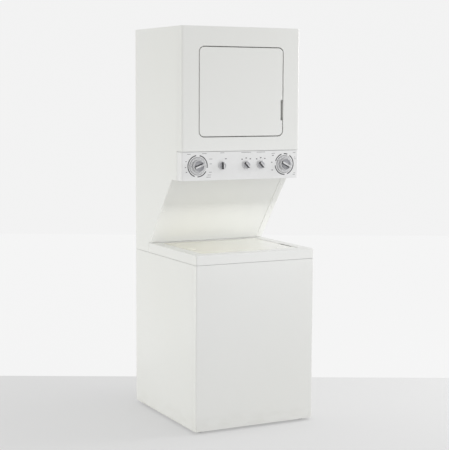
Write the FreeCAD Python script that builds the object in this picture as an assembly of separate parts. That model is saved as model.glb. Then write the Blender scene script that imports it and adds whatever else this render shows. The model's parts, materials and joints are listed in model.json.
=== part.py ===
"""A 24-inch laundry stack: a top-loading washer with a dryer above it in one cabinet.

Units are millimetres. +X is to the right as seen from the front, +Y runs to the back, +Z is up.
The shapes are drawn with y = 0 at the washer's front face. save() moves them forward by half the depth,
so that the origin lies on the floor under the middle of the object's box.
"""

import FreeCAD
import Part

import math
import os

Vec = FreeCAD.Vector
X_AXIS = Vec(1, 0, 0)
Y_AXIS = Vec(0, 1, 0)
Z_AXIS = Vec(0, 0, 1)

# ---------------------------------------------------------------- driving dimensions
WIDTH = 606.0
DEPTH = 673.0
HEIGHT = 1822.0
HALF = WIDTH / 2
SHEET = 1.2                     # painted steel sheet
SEAM = 1.2                      # open joint between two panels
LINER = 2.5                     # moulded plastic wall

# washer cabinet
CABINET_BOTTOM = 12.0
CABINET_TOP = 764.0
DECK_BOTTOM = CABINET_TOP + SEAM
DECK_TOP = 811.0
DECK_BACK = 520.0
FRONT_WRAP = 35.0               # how far the washer's front panel wraps round the sides
CORNER_R = 8.0
BACK_WALL = 643.0               # outer face of both back panels, inside the side panels' rear edges

# lid
LID_HALF = 247.0
LID_FRONT = 54.0
LID_BACK = 470.0
LID_GAP = 5.0
LID_NOTCH = (104.0, 220.0)      # y of the finger notch
LID_DEPTH = 17.0
LID_PIVOT = (464.0, 805.0)      # y, z of the hinge axis
RECESS_FLOOR = 791.0

# sloping front under the dryer
SLOPE_BASE = (506.0, 811.5)     # y, z
SLOPE_TOP = (254.0, 1129.0)
SLOPE_FLANGE = 30.0

# console and dryer front
DRYER_FRONT = 149.0
DRYER_WRAP = 50.0
DRYER_BOTTOM = 1260.0
CONSOLE_FACE = 151.5
CONSOLE_BOTTOM = 1129.0
CONSOLE_TOP = DRYER_BOTTOM - SEAM
DRYER_CORNER_R = 9.0
KNOB_Z = 1195.0
TIMER_X = (-222.0, 227.0)       # washer timer, dryer timer
SELECTOR_X = (-98.0, 26.0, 102.0)

# dryer door
DOOR_HALF = 214.0
DOOR_BOTTOM = 1328.0
DOOR_TOP = 1730.0
DOOR_GAP = 4.0
DOOR_R = 23.0
DOOR_MID = (DOOR_BOTTOM + DOOR_TOP) / 2
DOOR_PIVOT = (-200.0, 155.0)    # x, y of the hinge axis
DOOR_NOTCH = (1398.0, 1493.0)   # z of the finger notch
PIN_LENGTH = 32.0               # how deep the door's hinge pins reach into it
DOOR_RECESS = 177.0             # y of the recess floor
THROAT_HALF = 186.0
THROAT_RISE = 172.0
THROAT_R = 50.0

# drum
DRUM_Z = 1535.0
DRUM_R = 262.0
DRUM_FRONT = 218.0
DRUM_BACK = 588.0
PULLEY_Y = (530.0, 545.0)       # between the outer faces of the motor pulley's flanges
ROLLER_R = 35.0
ROLLER_OFFSET = 170.0
RUNNING = 0.3                   # clearance between parts that roll, rub or press on each other
MOTOR_AXIS = (175.0, 1210.0)    # x, z
MOTOR_PULLEY_R = 9.0
IDLER_AXIS = (85.0, 1215.0)
IDLER_R = 22.0
IDLER_BORE_R = 5.0
DUCT_AXIS = (-60.0, 1165.0)
DUCT_R = 50.8
SHELF_TOP = 1110.0

# tub
TUB_Y = 275.0
TUB_R = 255.0
TUB_WALL = 4.0
TUB_BOTTOM = 290.0
TUB_TOP = 735.0
BASKET_R = 232.0
BASKET_BOTTOM = 312.0
BASKET_TOP = 708.0
AUGER_FOOT = 520.0              # where the agitator's auger sits on its base
DRIVE_Z = 195.0                 # height of the washer motor's axis
ROD_X = 250.0
ROD_Y = (50.0, 500.0)
SPRING_BOTTOM = 336.0
SPRING_TOP = 396.0
FOOT_X = 262.0
FOOT_Y = (48.0, 597.0)

# controls, switches and fits
SPINDLE_R = 3.0
HUB_R = 3.6                     # the timer dial's hub, which the knob slides on
PIN_R = 3.0                     # hinge pins
PLUNGER_R = 2.2                 # switch plungers
FIT = 0.08                      # radial clearance of a spindle, pin or axle in its bore
WASHER_TIMER_TILT = -20.0       # degrees clockwise, seen from the front
DRYER_TIMER_TILT = 28.0
SELECTOR_TILTS = (0.0, -42.0, -42.0)
DOOR_SWITCH = (211.2, 1600.0)   # x, z
LID_SWITCH = (-234.0, 300.0)    # x, y
STRIKE_Z = DECK_TOP - LID_DEPTH + 3
NOTCH = 10.0                    # depth of a finger notch

# dryer bulkheads and air path
BULKHEAD_FRONT = (201.0, 202.2)
BULKHEAD_BACK = (596.0, 597.2)
LAND_R = 254.0
HEATER_AXIS = (110.0, 1610.0)
CHUTE_HALF = 118.0
CHUTE_BACK = 216.0
CHUTE_FLOOR = 1222.0
BLOWER_Y = (290.0, 370.0)
SHAFT_R = 6.0
MOTOR_R = 62.0
DUCT_END = 671.0
STOP_RING = (BACK_WALL + 0.2, BACK_WALL + 2.2)      # y of the rings that hoses push up against
STUB_STEP = 0.8                 # a stub's radius over that of the pipe inside the cabinet

# connections at the back
INLET_X = (-170.0, -120.0)
PORT_Z = 690.0
INLET_R = 13.5
DRAIN_X = 150.0
DRAIN_R = 14.3
PORT_END = 668.0
CORD_INLET = (-220.0, 1165.0)
CORD_BUSH_R = 13.0
CORD_BORE_R = 9.0


# ---------------------------------------------------------------- helpers
def block(x0, x1, y0, y1, z0, z1):
    """A box between two corners."""
    return Part.makeBox(x1 - x0, y1 - y0, z1 - z0, Vec(x0, y0, z0))


def rod(x, y, z, radius, length, axis):
    """A cylinder from a point, along an axis."""
    return Part.makeCylinder(radius, length, Vec(x, y, z), axis)


def tube(x, y, z, outer, inner, length, axis):
    """A round tube from a point, along an axis."""
    return rod(x, y, z, outer, length, axis).cut(rod(x, y, z, inner, length, axis))


def fuse(*shapes):
    """One solid from several that touch or overlap."""
    return shapes[0].multiFuse(list(shapes[1:])).removeSplitter()


def anywhere(point):
    """Keeps every edge."""
    return True


def ahead_of(y):
    """Keeps the edges that lie in front of a depth."""
    return lambda point: point.y < y


def fillet(shape, radius, axis, keep=anywhere):
    """Rounds the straight edges that run along an axis and whose middle passes keep()."""
    edges = []
    for edge in shape.Edges:
        if not isinstance(edge.Curve, Part.Line):
            continue
        if edge.Curve.Direction.cross(axis).Length < 1e-6 and keep(edge.CenterOfMass):
            edges.append(edge)
    return shape.makeFillet(radius, edges)


def upright(x0, x1, y0, y1, z0, z1, radius):
    """A box whose four vertical edges are round."""
    return fillet(block(x0, x1, y0, y1, z0, z1), radius, Z_AXIS)


def facing(half, z0, z1, y0, y1, radius):
    """A box centred on x = 0 whose four edges along Y are round, as a door or its opening."""
    return fillet(block(-half, half, y0, y1, z0, z1), radius, Y_AXIS)


def slab(points, x0, x1):
    """A prism along X from (y, z) corners."""
    corners = [Vec(x0, y, z) for y, z in points]
    face = Part.Face(Part.makePolygon(corners + corners[:1]))
    return face.extrude(Vec(x1 - x0, 0, 0))


def spun(points, x, y, axis=Z_AXIS, z=0.0):
    """A solid of revolution from (radius, height) corners, about an axis through (x, y, z)."""
    corners = [Vec(r, 0, h) for r, h in points]
    face = Part.Face(Part.makePolygon(corners + corners[:1]))
    shape = face.revolve(Vec(0, 0, 0), Z_AXIS, 360)
    if axis == Y_AXIS:
        shape.rotate(Vec(0, 0, 0), X_AXIS, -90)
    shape.translate(Vec(x, y, z))
    return shape


def hull_face(circles, grow):
    """The flat face inside a belt round several circles, given as (x, z, radius), in anticlockwise order."""
    tangents = []
    count = len(circles)
    for i in range(count):
        x0, z0, r0 = circles[i]
        x1, z1, r1 = circles[(i + 1) % count]
        heading = math.atan2(z1 - z0, x1 - x0)
        lean = math.asin((r0 - r1) / math.hypot(x1 - x0, z1 - z0))
        normal = heading - math.pi / 2 + lean
        c, s = math.cos(normal), math.sin(normal)
        tangents.append((Vec(x0 + (r0 + grow) * c, 0, z0 + (r0 + grow) * s),
                         Vec(x1 + (r1 + grow) * c, 0, z1 + (r1 + grow) * s), normal))
    edges = []
    for i in range(count):
        start, end, normal = tangents[i]
        following, _, next_normal = tangents[(i + 1) % count]
        x1, z1, r1 = circles[(i + 1) % count]
        turn = (next_normal - normal) % (2 * math.pi)
        middle = normal + turn / 2
        top = Vec(x1 + (r1 + grow) * math.cos(middle), 0, z1 + (r1 + grow) * math.sin(middle))
        edges.append(Part.makeLine(start, end))
        edges.append(Part.Arc(end, top, following).toShape())
    return Part.Face(Part.Wire(edges))


def save(shape, node):
    """Moves a finished sub-part to the part's own origin and writes its STEP file."""
    moved = shape.copy()
    moved.translate(Vec(0, -DEPTH / 2, 0))
    if not moved.isValid():
        print("not valid:", node)
    moved.exportStep("parts/" + node + ".step")
    box = moved.BoundBox
    print("%-22s solids %2d  volume %9.1f cm3  z %7.1f %7.1f" % (
        node, len(moved.Solids), moved.Volume / 1000, box.ZMin, box.ZMax))


# ---------------------------------------------------------------- washer cabinet
def washer_front_panel():
    """A shallow steel pan whose round upright corners wrap on to the sides."""
    outer = block(-HALF, HALF, 0, FRONT_WRAP, CABINET_BOTTOM, CABINET_TOP)
    outer = fillet(outer, CORNER_R, Z_AXIS, ahead_of(1))
    inside = block(-HALF + SHEET, HALF - SHEET, SHEET, FRONT_WRAP + 1,
                   CABINET_BOTTOM + SHEET, CABINET_TOP - SHEET)
    inside = fillet(inside, CORNER_R - SHEET, Z_AXIS, ahead_of(SHEET + 1))
    return outer.cut(inside)


def washer_cabinet():
    """Both sides and the inset back of the washer, in one folded sheet."""
    flange = 24.0
    start = FRONT_WRAP + SEAM / 2
    pieces = []
    for side in (-1, 1):
        wall = sorted((side * HALF, side * (HALF - SHEET)))
        lip = sorted((side * HALF, side * (HALF - flange)))
        pieces.append(block(*wall, start, DEPTH, CABINET_BOTTOM, CABINET_TOP))
        pieces.append(block(*lip, start, BACK_WALL, CABINET_BOTTOM, CABINET_BOTTOM + SHEET))
        pieces.append(block(*lip, start, BACK_WALL, CABINET_TOP - SHEET, CABINET_TOP))
        rear = sorted((side * HALF, side * (HALF - 12)))
        pieces.append(block(*rear, DEPTH - SHEET, DEPTH, CABINET_BOTTOM, CABINET_TOP))
    back = block(-HALF + SHEET, HALF - SHEET, BACK_WALL - SHEET, BACK_WALL, CABINET_BOTTOM, CABINET_TOP)
    for x in INLET_X:
        back = back.cut(rod(x, BACK_WALL - 5, PORT_Z, INLET_R + 0.6, 10, Y_AXIS))
    back = back.cut(rod(DRAIN_X, BACK_WALL - 5, PORT_Z, DRAIN_R + 0.6, 10, Y_AXIS))
    return fuse(back, *pieces)


def base_frame():
    """A channel ring under the cabinet with corner plates that carry the levelling feet."""
    x, y0, y1 = HALF - SHEET - 0.5, SHEET + 2, BACK_WALL - SHEET - 1
    bottom, top, rail = CABINET_BOTTOM + SHEET, 44.0, 30.0
    ring = fillet(block(-x, x, y0, y1, bottom, top), CORNER_R, Z_AXIS, ahead_of(y0 + 1))
    ring = ring.cut(block(-x + rail, x - rail, y0 + rail, y1 - rail, bottom, top))
    trough = block(-x + 3, x - 3, y0 + 3, y1 - 3, bottom + 3, top).cut(
        block(-x + rail - 3, x - rail + 3, y0 + rail - 3, y1 - rail + 3, bottom + 3, top))
    pieces = [ring.cut(trough)]
    ring_hull = block(-x + 5, x - 5, y0 + 5, y1 - 5, bottom, top)
    for side in (-1, 1):
        for y in FOOT_Y:
            corner = sorted((side * x, side * (x - 75)))
            near = (y0 + 5, y0 + 85) if y < 300 else (y1 - 85, y1)
            pieces.append(block(*corner, *near, bottom, bottom + 3).common(ring_hull))
    frame = fuse(*pieces)
    for side in (-1, 1):
        for y in FOOT_Y:
            frame = frame.cut(rod(side * FOOT_X, y, 0, 5.3, 60, Z_AXIS))
    return frame


def leveling_feet():
    """Four screw feet: a rubber-shod pad, a locking nut and a threaded stud."""
    profile = [(0, 0), (17, 0), (19, 2), (19, 5), (9, 8), (9, 13.1), (5, 13.1), (5, 40), (0, 40)]
    feet = []
    for x in (-FOOT_X, FOOT_X):
        for y in FOOT_Y:
            feet.append(spun(profile, x, y))
    return Part.makeCompound(feet)


def washer_top_deck():
    """The washer's top: a pan with a skirt, a recess for the lid and a round-cornered way into the tub."""
    outer = block(-HALF, HALF, 0, DECK_BACK, DECK_BOTTOM, DECK_TOP)
    outer = fillet(outer, CORNER_R, Z_AXIS, ahead_of(1))
    outer = outer.makeFillet(4.0, [e for e in outer.Edges if e.BoundBox.ZMin > DECK_TOP - 0.01
                                   and e.CenterOfMass.y < DECK_BACK - 1])
    under = DECK_TOP - SHEET
    inside = block(-HALF + SHEET, HALF - SHEET, SHEET, DECK_BACK - SHEET, DECK_BOTTOM - 1, under)
    inside = fillet(inside, CORNER_R - SHEET, Z_AXIS, ahead_of(SHEET + 1))
    inside = inside.makeFillet(4.0 - SHEET, [e for e in inside.Edges if e.BoundBox.ZMin > under - 0.01
                                             and e.CenterOfMass.y < DECK_BACK - SHEET - 1])
    deck = outer.cut(inside)
    half, y0, y1 = LID_HALF + LID_GAP, LID_FRONT - LID_GAP, LID_BACK + LID_GAP
    tray = upright(-half - SHEET, half + SHEET, y0 - SHEET, y1 + SHEET,
                   RECESS_FLOOR - SHEET, DECK_TOP - SHEET / 2, 14 + SHEET)
    deck = fuse(deck, tray)
    deck = deck.cut(upright(-half, half, y0, y1, RECESS_FLOOR, DECK_TOP + 1, 14))
    opening = (-216, 216, 84, 438)
    grown = (opening[0] - SHEET, opening[1] + SHEET, opening[2] - SHEET, opening[3] + SHEET)
    deck = fuse(deck, upright(*grown, RECESS_FLOOR - 14, RECESS_FLOOR, 90 + SHEET))
    deck = deck.cut(upright(*opening, RECESS_FLOOR - 20, RECESS_FLOOR + 1, 90))
    for side in (-1, 1):
        deck = deck.cut(rod(side * (half - 4), *LID_PIVOT, PIN_R + FIT, 7, X_AXIS * side))
    return deck.cut(rod(*LID_SWITCH, RECESS_FLOOR - 5, PLUNGER_R + 2 * FIT, 10, Z_AXIS))


def tray_rib(x0, x1, y0, y1, z0, z1):
    """A folded stiffening channel, open below, on the underside of a sheet at z1."""
    return block(x0, x1, y0, y1, z0, z1).cut(block(x0, x1, y0 + SHEET, y1 - SHEET, z0 - 1, z1 - SHEET))


def washer_lid():
    """A pressed lid with turned-down edges, a finger notch in its right edge and a strike for the switch."""
    top, bottom = DECK_TOP - 0.5, DECK_TOP - LID_DEPTH
    outer = upright(-LID_HALF, LID_HALF, LID_FRONT, LID_BACK, bottom, top, 10)
    outer = outer.makeFillet(1.0, [e for e in outer.Edges if e.BoundBox.ZMin > top - 0.01])
    inner = upright(-LID_HALF + SHEET, LID_HALF - SHEET, LID_FRONT + SHEET, LID_BACK - SHEET,
                    bottom - 1, top - SHEET, 10 - SHEET)
    y0, y1 = LID_NOTCH
    notch = fillet(block(LID_HALF - 9, LID_HALF + 5, y0, y1, bottom - 2, top + 2), 4, Z_AXIS)
    notch_skin = fillet(block(LID_HALF - 9 - SHEET, LID_HALF + 5, y0 - SHEET, y1 + SHEET,
                              bottom - 2, top - SHEET), 4 + SHEET, Z_AXIS)
    lid = outer.cut(inner.cut(notch_skin)).cut(notch)
    x, y = LID_SWITCH
    strike = block(x - 9, x + 9, y - 10, y + 10, STRIKE_Z, top - SHEET)
    x0, x1 = -LID_HALF + SHEET, LID_HALF - 12
    ribs = [tray_rib(x0, x1, y, y + 30, top - SHEET - 6, top - SHEET) for y in (240.0, 350.0)]
    lid = fuse(lid, strike.common(inner), *ribs)
    for side in (-1, 1):
        lid = fuse(lid, rod(side * (LID_HALF - 14), *LID_PIVOT, 5.4, 14 - SHEET, X_AXIS * side))
        lid = lid.cut(rod(side * (LID_HALF - 15), *LID_PIVOT, PIN_R + FIT, 16, X_AXIS * side))
    return lid


# ---------------------------------------------------------------- upper cabinet
def slope_offset(point, inwards):
    """A point moved square to the slope, into the cabinet."""
    run, rise = SLOPE_TOP[0] - SLOPE_BASE[0], SLOPE_TOP[1] - SLOPE_BASE[1]
    length = math.hypot(run, rise)
    return (point[0] + inwards * rise / length, point[1] - inwards * run / length)


def slope_plate(x0, x1, near, far, base=0.0, top=1.0):
    """A plate that lies between two depths behind the sloping plane, over a share of its length."""
    def along(share):
        return tuple(SLOPE_BASE[i] + share * (SLOPE_TOP[i] - SLOPE_BASE[i]) for i in (0, 1))
    low, high = along(base), along(top)
    return slab([slope_offset(low, near), slope_offset(high, near), slope_offset(high, far),
                 slope_offset(low, far)], x0, x1)


def cabinet_side(side):
    """One tall side sheet with its sloping cut, the hemmed flange along the slope and the top flange."""
    start = DRYER_FRONT + DRYER_WRAP + SEAM / 2
    profile = [(start, CONSOLE_BOTTOM), SLOPE_TOP, SLOPE_BASE, (DECK_BACK + 1.5, SLOPE_BASE[1]),
               (DECK_BACK + 1.5, DECK_BOTTOM), (DEPTH, DECK_BOTTOM), (DEPTH, HEIGHT), (start, HEIGHT)]
    outer, inner = side * HALF, side * (HALF - SHEET)
    sheet = slab(profile, outer, inner)
    flange = slope_plate(outer, side * (HALF - SLOPE_FLANGE), 0, 2 * SHEET, 0.0, 0.995)
    lip = sorted((outer, side * (HALF - 20)))
    top = block(*lip, start, BACK_WALL, HEIGHT - 2 * SHEET, HEIGHT - SHEET)
    rear = block(*sorted((outer, side * (HALF - 12))), DEPTH - SHEET, DEPTH, DECK_BOTTOM, HEIGHT)
    return fuse(sheet, flange, top, rear)


def slant_panel():
    """The flat sheet that closes the sloping front, seated behind the side flanges."""
    half, foot = HALF - SHEET - 0.5, -0.0045
    sheet = slope_plate(-half, half, 2 * SHEET, 3 * SHEET, foot, 0.985)
    hem = slope_plate(-half, half, 3 * SHEET, 16, foot, foot + 0.003)
    return fuse(sheet, hem)


def top_panel():
    """The dryer's top, with short turned-down edges."""
    start = DRYER_FRONT + DRYER_WRAP + SEAM / 2
    half = HALF - SHEET - 0.2
    sheet = block(-half, half, start, DEPTH - SHEET, HEIGHT - SHEET, HEIGHT)
    pieces = [sheet, block(-half + 25, half - 25, DEPTH - 2 * SHEET, DEPTH - SHEET, HEIGHT - 18, HEIGHT)]
    return fuse(*pieces)


def upper_back_panel():
    """The upper back, with the holes for the exhaust and the power cord and a field of louvres."""
    half = HALF - SHEET - 0.5
    panel = block(-half, half, BACK_WALL - SHEET, BACK_WALL, DECK_BOTTOM, HEIGHT - 2 * SHEET - 0.5)
    panel = panel.cut(rod(DUCT_AXIS[0], BACK_WALL - 5, DUCT_AXIS[1], DUCT_R + 0.8, 10, Y_AXIS))
    panel = panel.cut(rod(CORD_INLET[0], BACK_WALL - 5, CORD_INLET[1], CORD_BUSH_R + 0.2, 10, Y_AXIS))
    for i in range(7):
        z = 1620.0 + 18 * i
        panel = panel.cut(fillet(block(60, 240, BACK_WALL - 5, BACK_WALL + 5, z, z + 6), 2.9, Y_AXIS))
    return panel


def dryer_front_panel():
    """The dryer's front pan, with the recess that the door closes into and the throat to the drum."""
    y0, y1 = DRYER_FRONT, DRYER_FRONT + DRYER_WRAP
    outer = fillet(block(-HALF, HALF, y0, y1, DRYER_BOTTOM, HEIGHT), DRYER_CORNER_R, Z_AXIS,
                   ahead_of(y0 + 0.5))
    rim = [e for e in outer.Edges if e.BoundBox.YMax < y0 + DRYER_CORNER_R + 0.1
           and (e.BoundBox.ZMin > HEIGHT - 0.01 or e.BoundBox.ZMax < DRYER_BOTTOM + 0.01)]
    outer = outer.makeFillet(2.5, rim)
    inside = block(-HALF + SHEET, HALF - SHEET, y0 + SHEET, y1 + 1, DRYER_BOTTOM + SHEET, HEIGHT - SHEET)
    inside = fillet(inside, DRYER_CORNER_R - SHEET, Z_AXIS, ahead_of(y0 + SHEET + 0.5))
    pan = outer.cut(inside)
    half, z0, z1 = DOOR_HALF + DOOR_GAP, DOOR_BOTTOM - DOOR_GAP, DOOR_TOP + DOOR_GAP
    radius = DOOR_R + DOOR_GAP
    tray = facing(half + SHEET, z0 - SHEET, z1 + SHEET, y0 + 0.4, DOOR_RECESS + SHEET, radius + SHEET)
    throat = facing(THROAT_HALF + SHEET, DOOR_MID - THROAT_RISE - SHEET, DOOR_MID + THROAT_RISE + SHEET,
                    DOOR_RECESS, y1, THROAT_R + SHEET)
    pan = fuse(pan, tray, throat)
    pan = pan.cut(facing(half, z0, z1, y0 - 1, DOOR_RECESS, radius))
    pan = pan.cut(facing(THROAT_HALF, DOOR_MID - THROAT_RISE, DOOR_MID + THROAT_RISE,
                         DOOR_RECESS - 1, y1 + 1, THROAT_R))
    for z in (z0 - 4, z1 - 24):
        pan = pan.cut(rod(*DOOR_PIVOT, z, PIN_R + FIT, 28, Z_AXIS))
    return pan.cut(rod(DOOR_SWITCH[0], DOOR_RECESS - 3, DOOR_SWITCH[1], PLUNGER_R + 2 * FIT, 8, Y_AXIS))


def console_panel():
    """The control panel: a shallow pan with a deep underside, pierced for five spindles."""
    half, back = HALF - 0.8, DRYER_FRONT + DRYER_WRAP
    outer = block(-half, half, CONSOLE_FACE, back, CONSOLE_BOTTOM, CONSOLE_TOP)
    outer = fillet(outer, 8, Z_AXIS, ahead_of(CONSOLE_FACE + 0.5))
    inside = block(-half + LINER, half - LINER, CONSOLE_FACE + LINER, back + 1,
                   CONSOLE_BOTTOM + LINER, CONSOLE_TOP - LINER)
    inside = fillet(inside, 8 - LINER, Z_AXIS, ahead_of(CONSOLE_FACE + LINER + 0.5))
    under = block(-half + 4, half - 4, back - 2, SLOPE_TOP[0] - 2, CONSOLE_BOTTOM, CONSOLE_BOTTOM + LINER)
    panel = fuse(outer.cut(inside), under)
    for x in TIMER_X + SELECTOR_X:
        panel = panel.cut(rod(x, CONSOLE_FACE - 1, KNOB_Z, 5, LINER + 2, Y_AXIS))
    return panel


def console_switches():
    """The two timers and three rotary switches behind the console, each bored for its spindle."""
    y0 = CONSOLE_FACE + LINER
    bodies = []
    for x in TIMER_X:
        case = block(x - 32, x + 32, y0, y0 + 48, KNOB_Z - 24, KNOB_Z + 24)
        motor = rod(x + 8, y0 + 48, KNOB_Z, 18, 10, Y_AXIS)
        bodies.append(fuse(case, motor).cut(rod(x, y0 - 1, KNOB_Z, SPINDLE_R + FIT, 27, Y_AXIS)))
    for x in SELECTOR_X:
        case = block(x - 16, x + 16, y0, y0 + 26, KNOB_Z - 18, KNOB_Z + 18)
        tabs = block(x - 10, x + 10, y0 + 26, y0 + 34, KNOB_Z - 12, KNOB_Z + 12)
        bodies.append(fuse(case, tabs).cut(rod(x, y0 - 1, KNOB_Z, SPINDLE_R + FIT, 27, Y_AXIS)))
    return Part.makeCompound(bodies)


# ---------------------------------------------------------------- knobs
def timer_dial(x):
    """A flat dial with a raised rim and a hub, on the spindle that turns inside the timer."""
    profile = [(0, 0), (39, 0), (39, 3.4), (37.4, 4.2), (36.2, 3.0), (HUB_R, 3.0), (HUB_R, 15.5), (0, 15.5)]
    dial = spun([(r, -h) for r, h in profile], x, CONSOLE_FACE - 1.2, Y_AXIS, KNOB_Z)
    spindle = rod(x, CONSOLE_FACE - 1.2, KNOB_Z, SPINDLE_R, 24, Y_AXIS)
    return fuse(dial, spindle)


def timer_knob(x, tilt):
    """A round knob with a scooped face and a grip bar across it, which slides on the dial's hub."""
    back, radius = CONSOLE_FACE - 8.0, 27.0
    profile = [(0, 0), (26, 0), (radius, 1.2), (radius, 8), (25.8, 10.0), (24.2, 10.0), (21, 6.6), (12, 5.0),
               (0, 5.0)]
    body = spun([(r, -h) for r, h in profile], x, back, Y_AXIS, KNOB_Z)
    bar = block(x - 24.4, x + 24.4, back - 19, back - 4.4, KNOB_Z - 5.4, KNOB_Z + 5.4)
    bar = fillet(bar, 3.5, X_AXIS, ahead_of(back - 18))
    bar = fillet(bar, 4.0, Z_AXIS, ahead_of(back - 15))
    knob = fuse(body, bar).cut(rod(x, back + 1, KNOB_Z, HUB_R + FIT, 13.5, Y_AXIS * -1))
    knob.rotate(Vec(x, 0, KNOB_Z), Y_AXIS, tilt)
    return knob


def selector_knob(x, tilt):
    """A small skirted knob with a tapered pointer grip, on its own spindle."""
    back = CONSOLE_FACE - 1.2
    skirt = spun([(0, 0), (20, 0), (20, -2.2), (18.6, -4.2), (16.2, -5.0), (0, -5.0)],
                 x, back, Y_AXIS, KNOB_Z)
    corners = [Vec(x - 3.0, back - 4, KNOB_Z + 18.2), Vec(x + 3.0, back - 4, KNOB_Z + 18.2),
               Vec(x + 8.6, back - 4, KNOB_Z - 14.6), Vec(x - 8.6, back - 4, KNOB_Z - 14.6)]
    grip = Part.Face(Part.makePolygon(corners + corners[:1])).extrude(Vec(0, -19, 0))
    front = [e for e in grip.Edges if e.BoundBox.YMax < back - 22]
    grip = grip.makeFillet(2.0, front)
    spindle = rod(x, back, KNOB_Z, SPINDLE_R, 24, Y_AXIS)
    knob = fuse(skirt, grip, spindle)
    knob.rotate(Vec(x, 0, KNOB_Z), Y_AXIS, tilt)
    return knob


# ---------------------------------------------------------------- dryer door
def door_outer_panel():
    """The door's painted skin, flush in its recess, with the finger notch in its right edge."""
    y0, depth = DRYER_FRONT, 14.0
    outer = facing(DOOR_HALF, DOOR_BOTTOM, DOOR_TOP, y0, y0 + depth, DOOR_R)
    outer = outer.makeFillet(2.5, [e for e in outer.Edges if e.BoundBox.YMax < y0 + 0.01])
    inside = facing(DOOR_HALF - SHEET, DOOR_BOTTOM + SHEET, DOOR_TOP - SHEET, y0 + SHEET, y0 + depth + 1,
                    DOOR_R - SHEET)
    notch = fillet(block(DOOR_HALF - NOTCH, DOOR_HALF + 5, y0 - 1, y0 + depth + 1, *DOOR_NOTCH), 4, Y_AXIS)
    skin = fillet(block(DOOR_HALF - NOTCH - SHEET, DOOR_HALF + 5, y0 + SHEET, y0 + depth + 1,
                        DOOR_NOTCH[0] - SHEET, DOOR_NOTCH[1] + SHEET), 4 + SHEET, Y_AXIS)
    door = outer.cut(inside.cut(skin)).cut(notch)
    for z in (DOOR_TOP - PIN_LENGTH, DOOR_BOTTOM):
        boss = rod(*DOOR_PIVOT, z, 4.6, PIN_LENGTH, Z_AXIS).common(outer)
        door = fuse(door, boss).cut(rod(*DOOR_PIVOT, z - 2, PIN_R + FIT, PIN_LENGTH + 4, Z_AXIS))
    return door


def door_inner_liner():
    """The door's white inner panel, with a raised centre that fills the throat."""
    y0, y1, y2 = DRYER_FRONT + 14, DRYER_FRONT + 22, 190.0
    plate = facing(DOOR_HALF - 1, DOOR_BOTTOM + 1, DOOR_TOP - 1, y0, y1, DOOR_R - 1)
    beyond = block(DOOR_HALF - NOTCH - 2, DOOR_HALF + 5, y0 - 1, y1 + 1, DOOR_BOTTOM, DOOR_TOP)
    half, rise, corner = THROAT_HALF - 10, THROAT_RISE - 10, THROAT_R - 8
    plug = facing(half, DOOR_MID - rise, DOOR_MID + rise, y0 + 1, y2, corner)
    plug = plug.makeFillet(8.0, [e for e in plug.Edges if e.BoundBox.YMin > y2 - 0.01])
    hollow = facing(half - LINER, DOOR_MID - rise + LINER, DOOR_MID + rise - LINER, y0 - 1, y2 - LINER,
                    corner - LINER)
    hollow = hollow.makeFillet(6.0, [e for e in hollow.Edges if e.BoundBox.YMin > y2 - LINER - 0.01])
    dish = facing(DOOR_HALF - 5, DOOR_BOTTOM + 5, DOOR_TOP - 5, y0 - 1, y0 + 5, DOOR_R - 5)
    rim = block(DOOR_HALF - NOTCH - 5, DOOR_HALF, y0 - 2, y1 + 2, DOOR_BOTTOM, DOOR_TOP)
    return fuse(plate, plug).cut(dish.cut(rim)).cut(hollow).cut(beyond)


def door_seal():
    """The felt-faced gasket round the raised centre."""
    y0, y1 = DRYER_FRONT + 22, DOOR_RECESS - RUNNING
    ring = facing(200, DOOR_MID - 186, DOOR_MID + 186, y0, y1, 60)
    return ring.cut(facing(188, DOOR_MID - 174, DOOR_MID + 174, y0 - 1, y1 + 1, 48))


def pivot_pins():
    """The plain pins that carry the door, the lid and the two drum rollers."""
    pins = []
    x, y = DOOR_PIVOT
    reach = PIN_LENGTH + DOOR_GAP + SHEET
    for tip, out in ((DOOR_TOP - PIN_LENGTH, Z_AXIS), (DOOR_BOTTOM + PIN_LENGTH, Z_AXIS * -1)):
        head = tip + reach * out.z
        pins.append(fuse(rod(x, y, tip, PIN_R, reach, out), rod(x, y, head, 4.5, 2, out)))
    y, z = LID_PIVOT
    wall = LID_HALF + LID_GAP + SHEET
    for side in (-1, 1):
        shank = rod(side * (LID_HALF - 12), y, z, PIN_R, wall - LID_HALF + 12, X_AXIS * side)
        pins.append(fuse(shank, rod(side * wall, y, z, 4.5, 2, X_AXIS * side)))
    for x, z in roller_centres():
        shaft = rod(x, 556, z, SHAFT_R, BULKHEAD_BACK[0] - 556, Y_AXIS)
        pins.append(fuse(shaft, rod(x, BULKHEAD_BACK[0] - 6, z, 11, 6, Y_AXIS)))
    return Part.makeCompound(pins)


# ---------------------------------------------------------------- dryer inside
def front_bulkhead():
    """The plate behind the dryer's front, with the throat opening and the round land for the drum's rim."""
    y0, y1 = BULKHEAD_FRONT
    plate = block(-HALF + 6, HALF - 6, y0, y1, DRYER_BOTTOM + 4, HEIGHT - 8)
    land = tube(0, y1 - 1, DRUM_Z, LAND_R, LAND_R - 2, 34, Y_AXIS)
    plate = plate.cut(facing(THROAT_HALF, DOOR_MID - THROAT_RISE, DOOR_MID + THROAT_RISE, y0 - 1, y1 + 1,
                             THROAT_R))
    bulkhead = fuse(plate, land)
    slot = block(-CHUTE_HALF - 0.5, CHUTE_HALF + 0.5, y1, CHUTE_BACK + 0.5, DRYER_BOTTOM, 1352)
    bulkhead = bulkhead.cut(slot)
    return bulkhead.cut(rod(DOOR_SWITCH[0], y0 - 1, DOOR_SWITCH[1], 9, 4, Y_AXIS))


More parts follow.
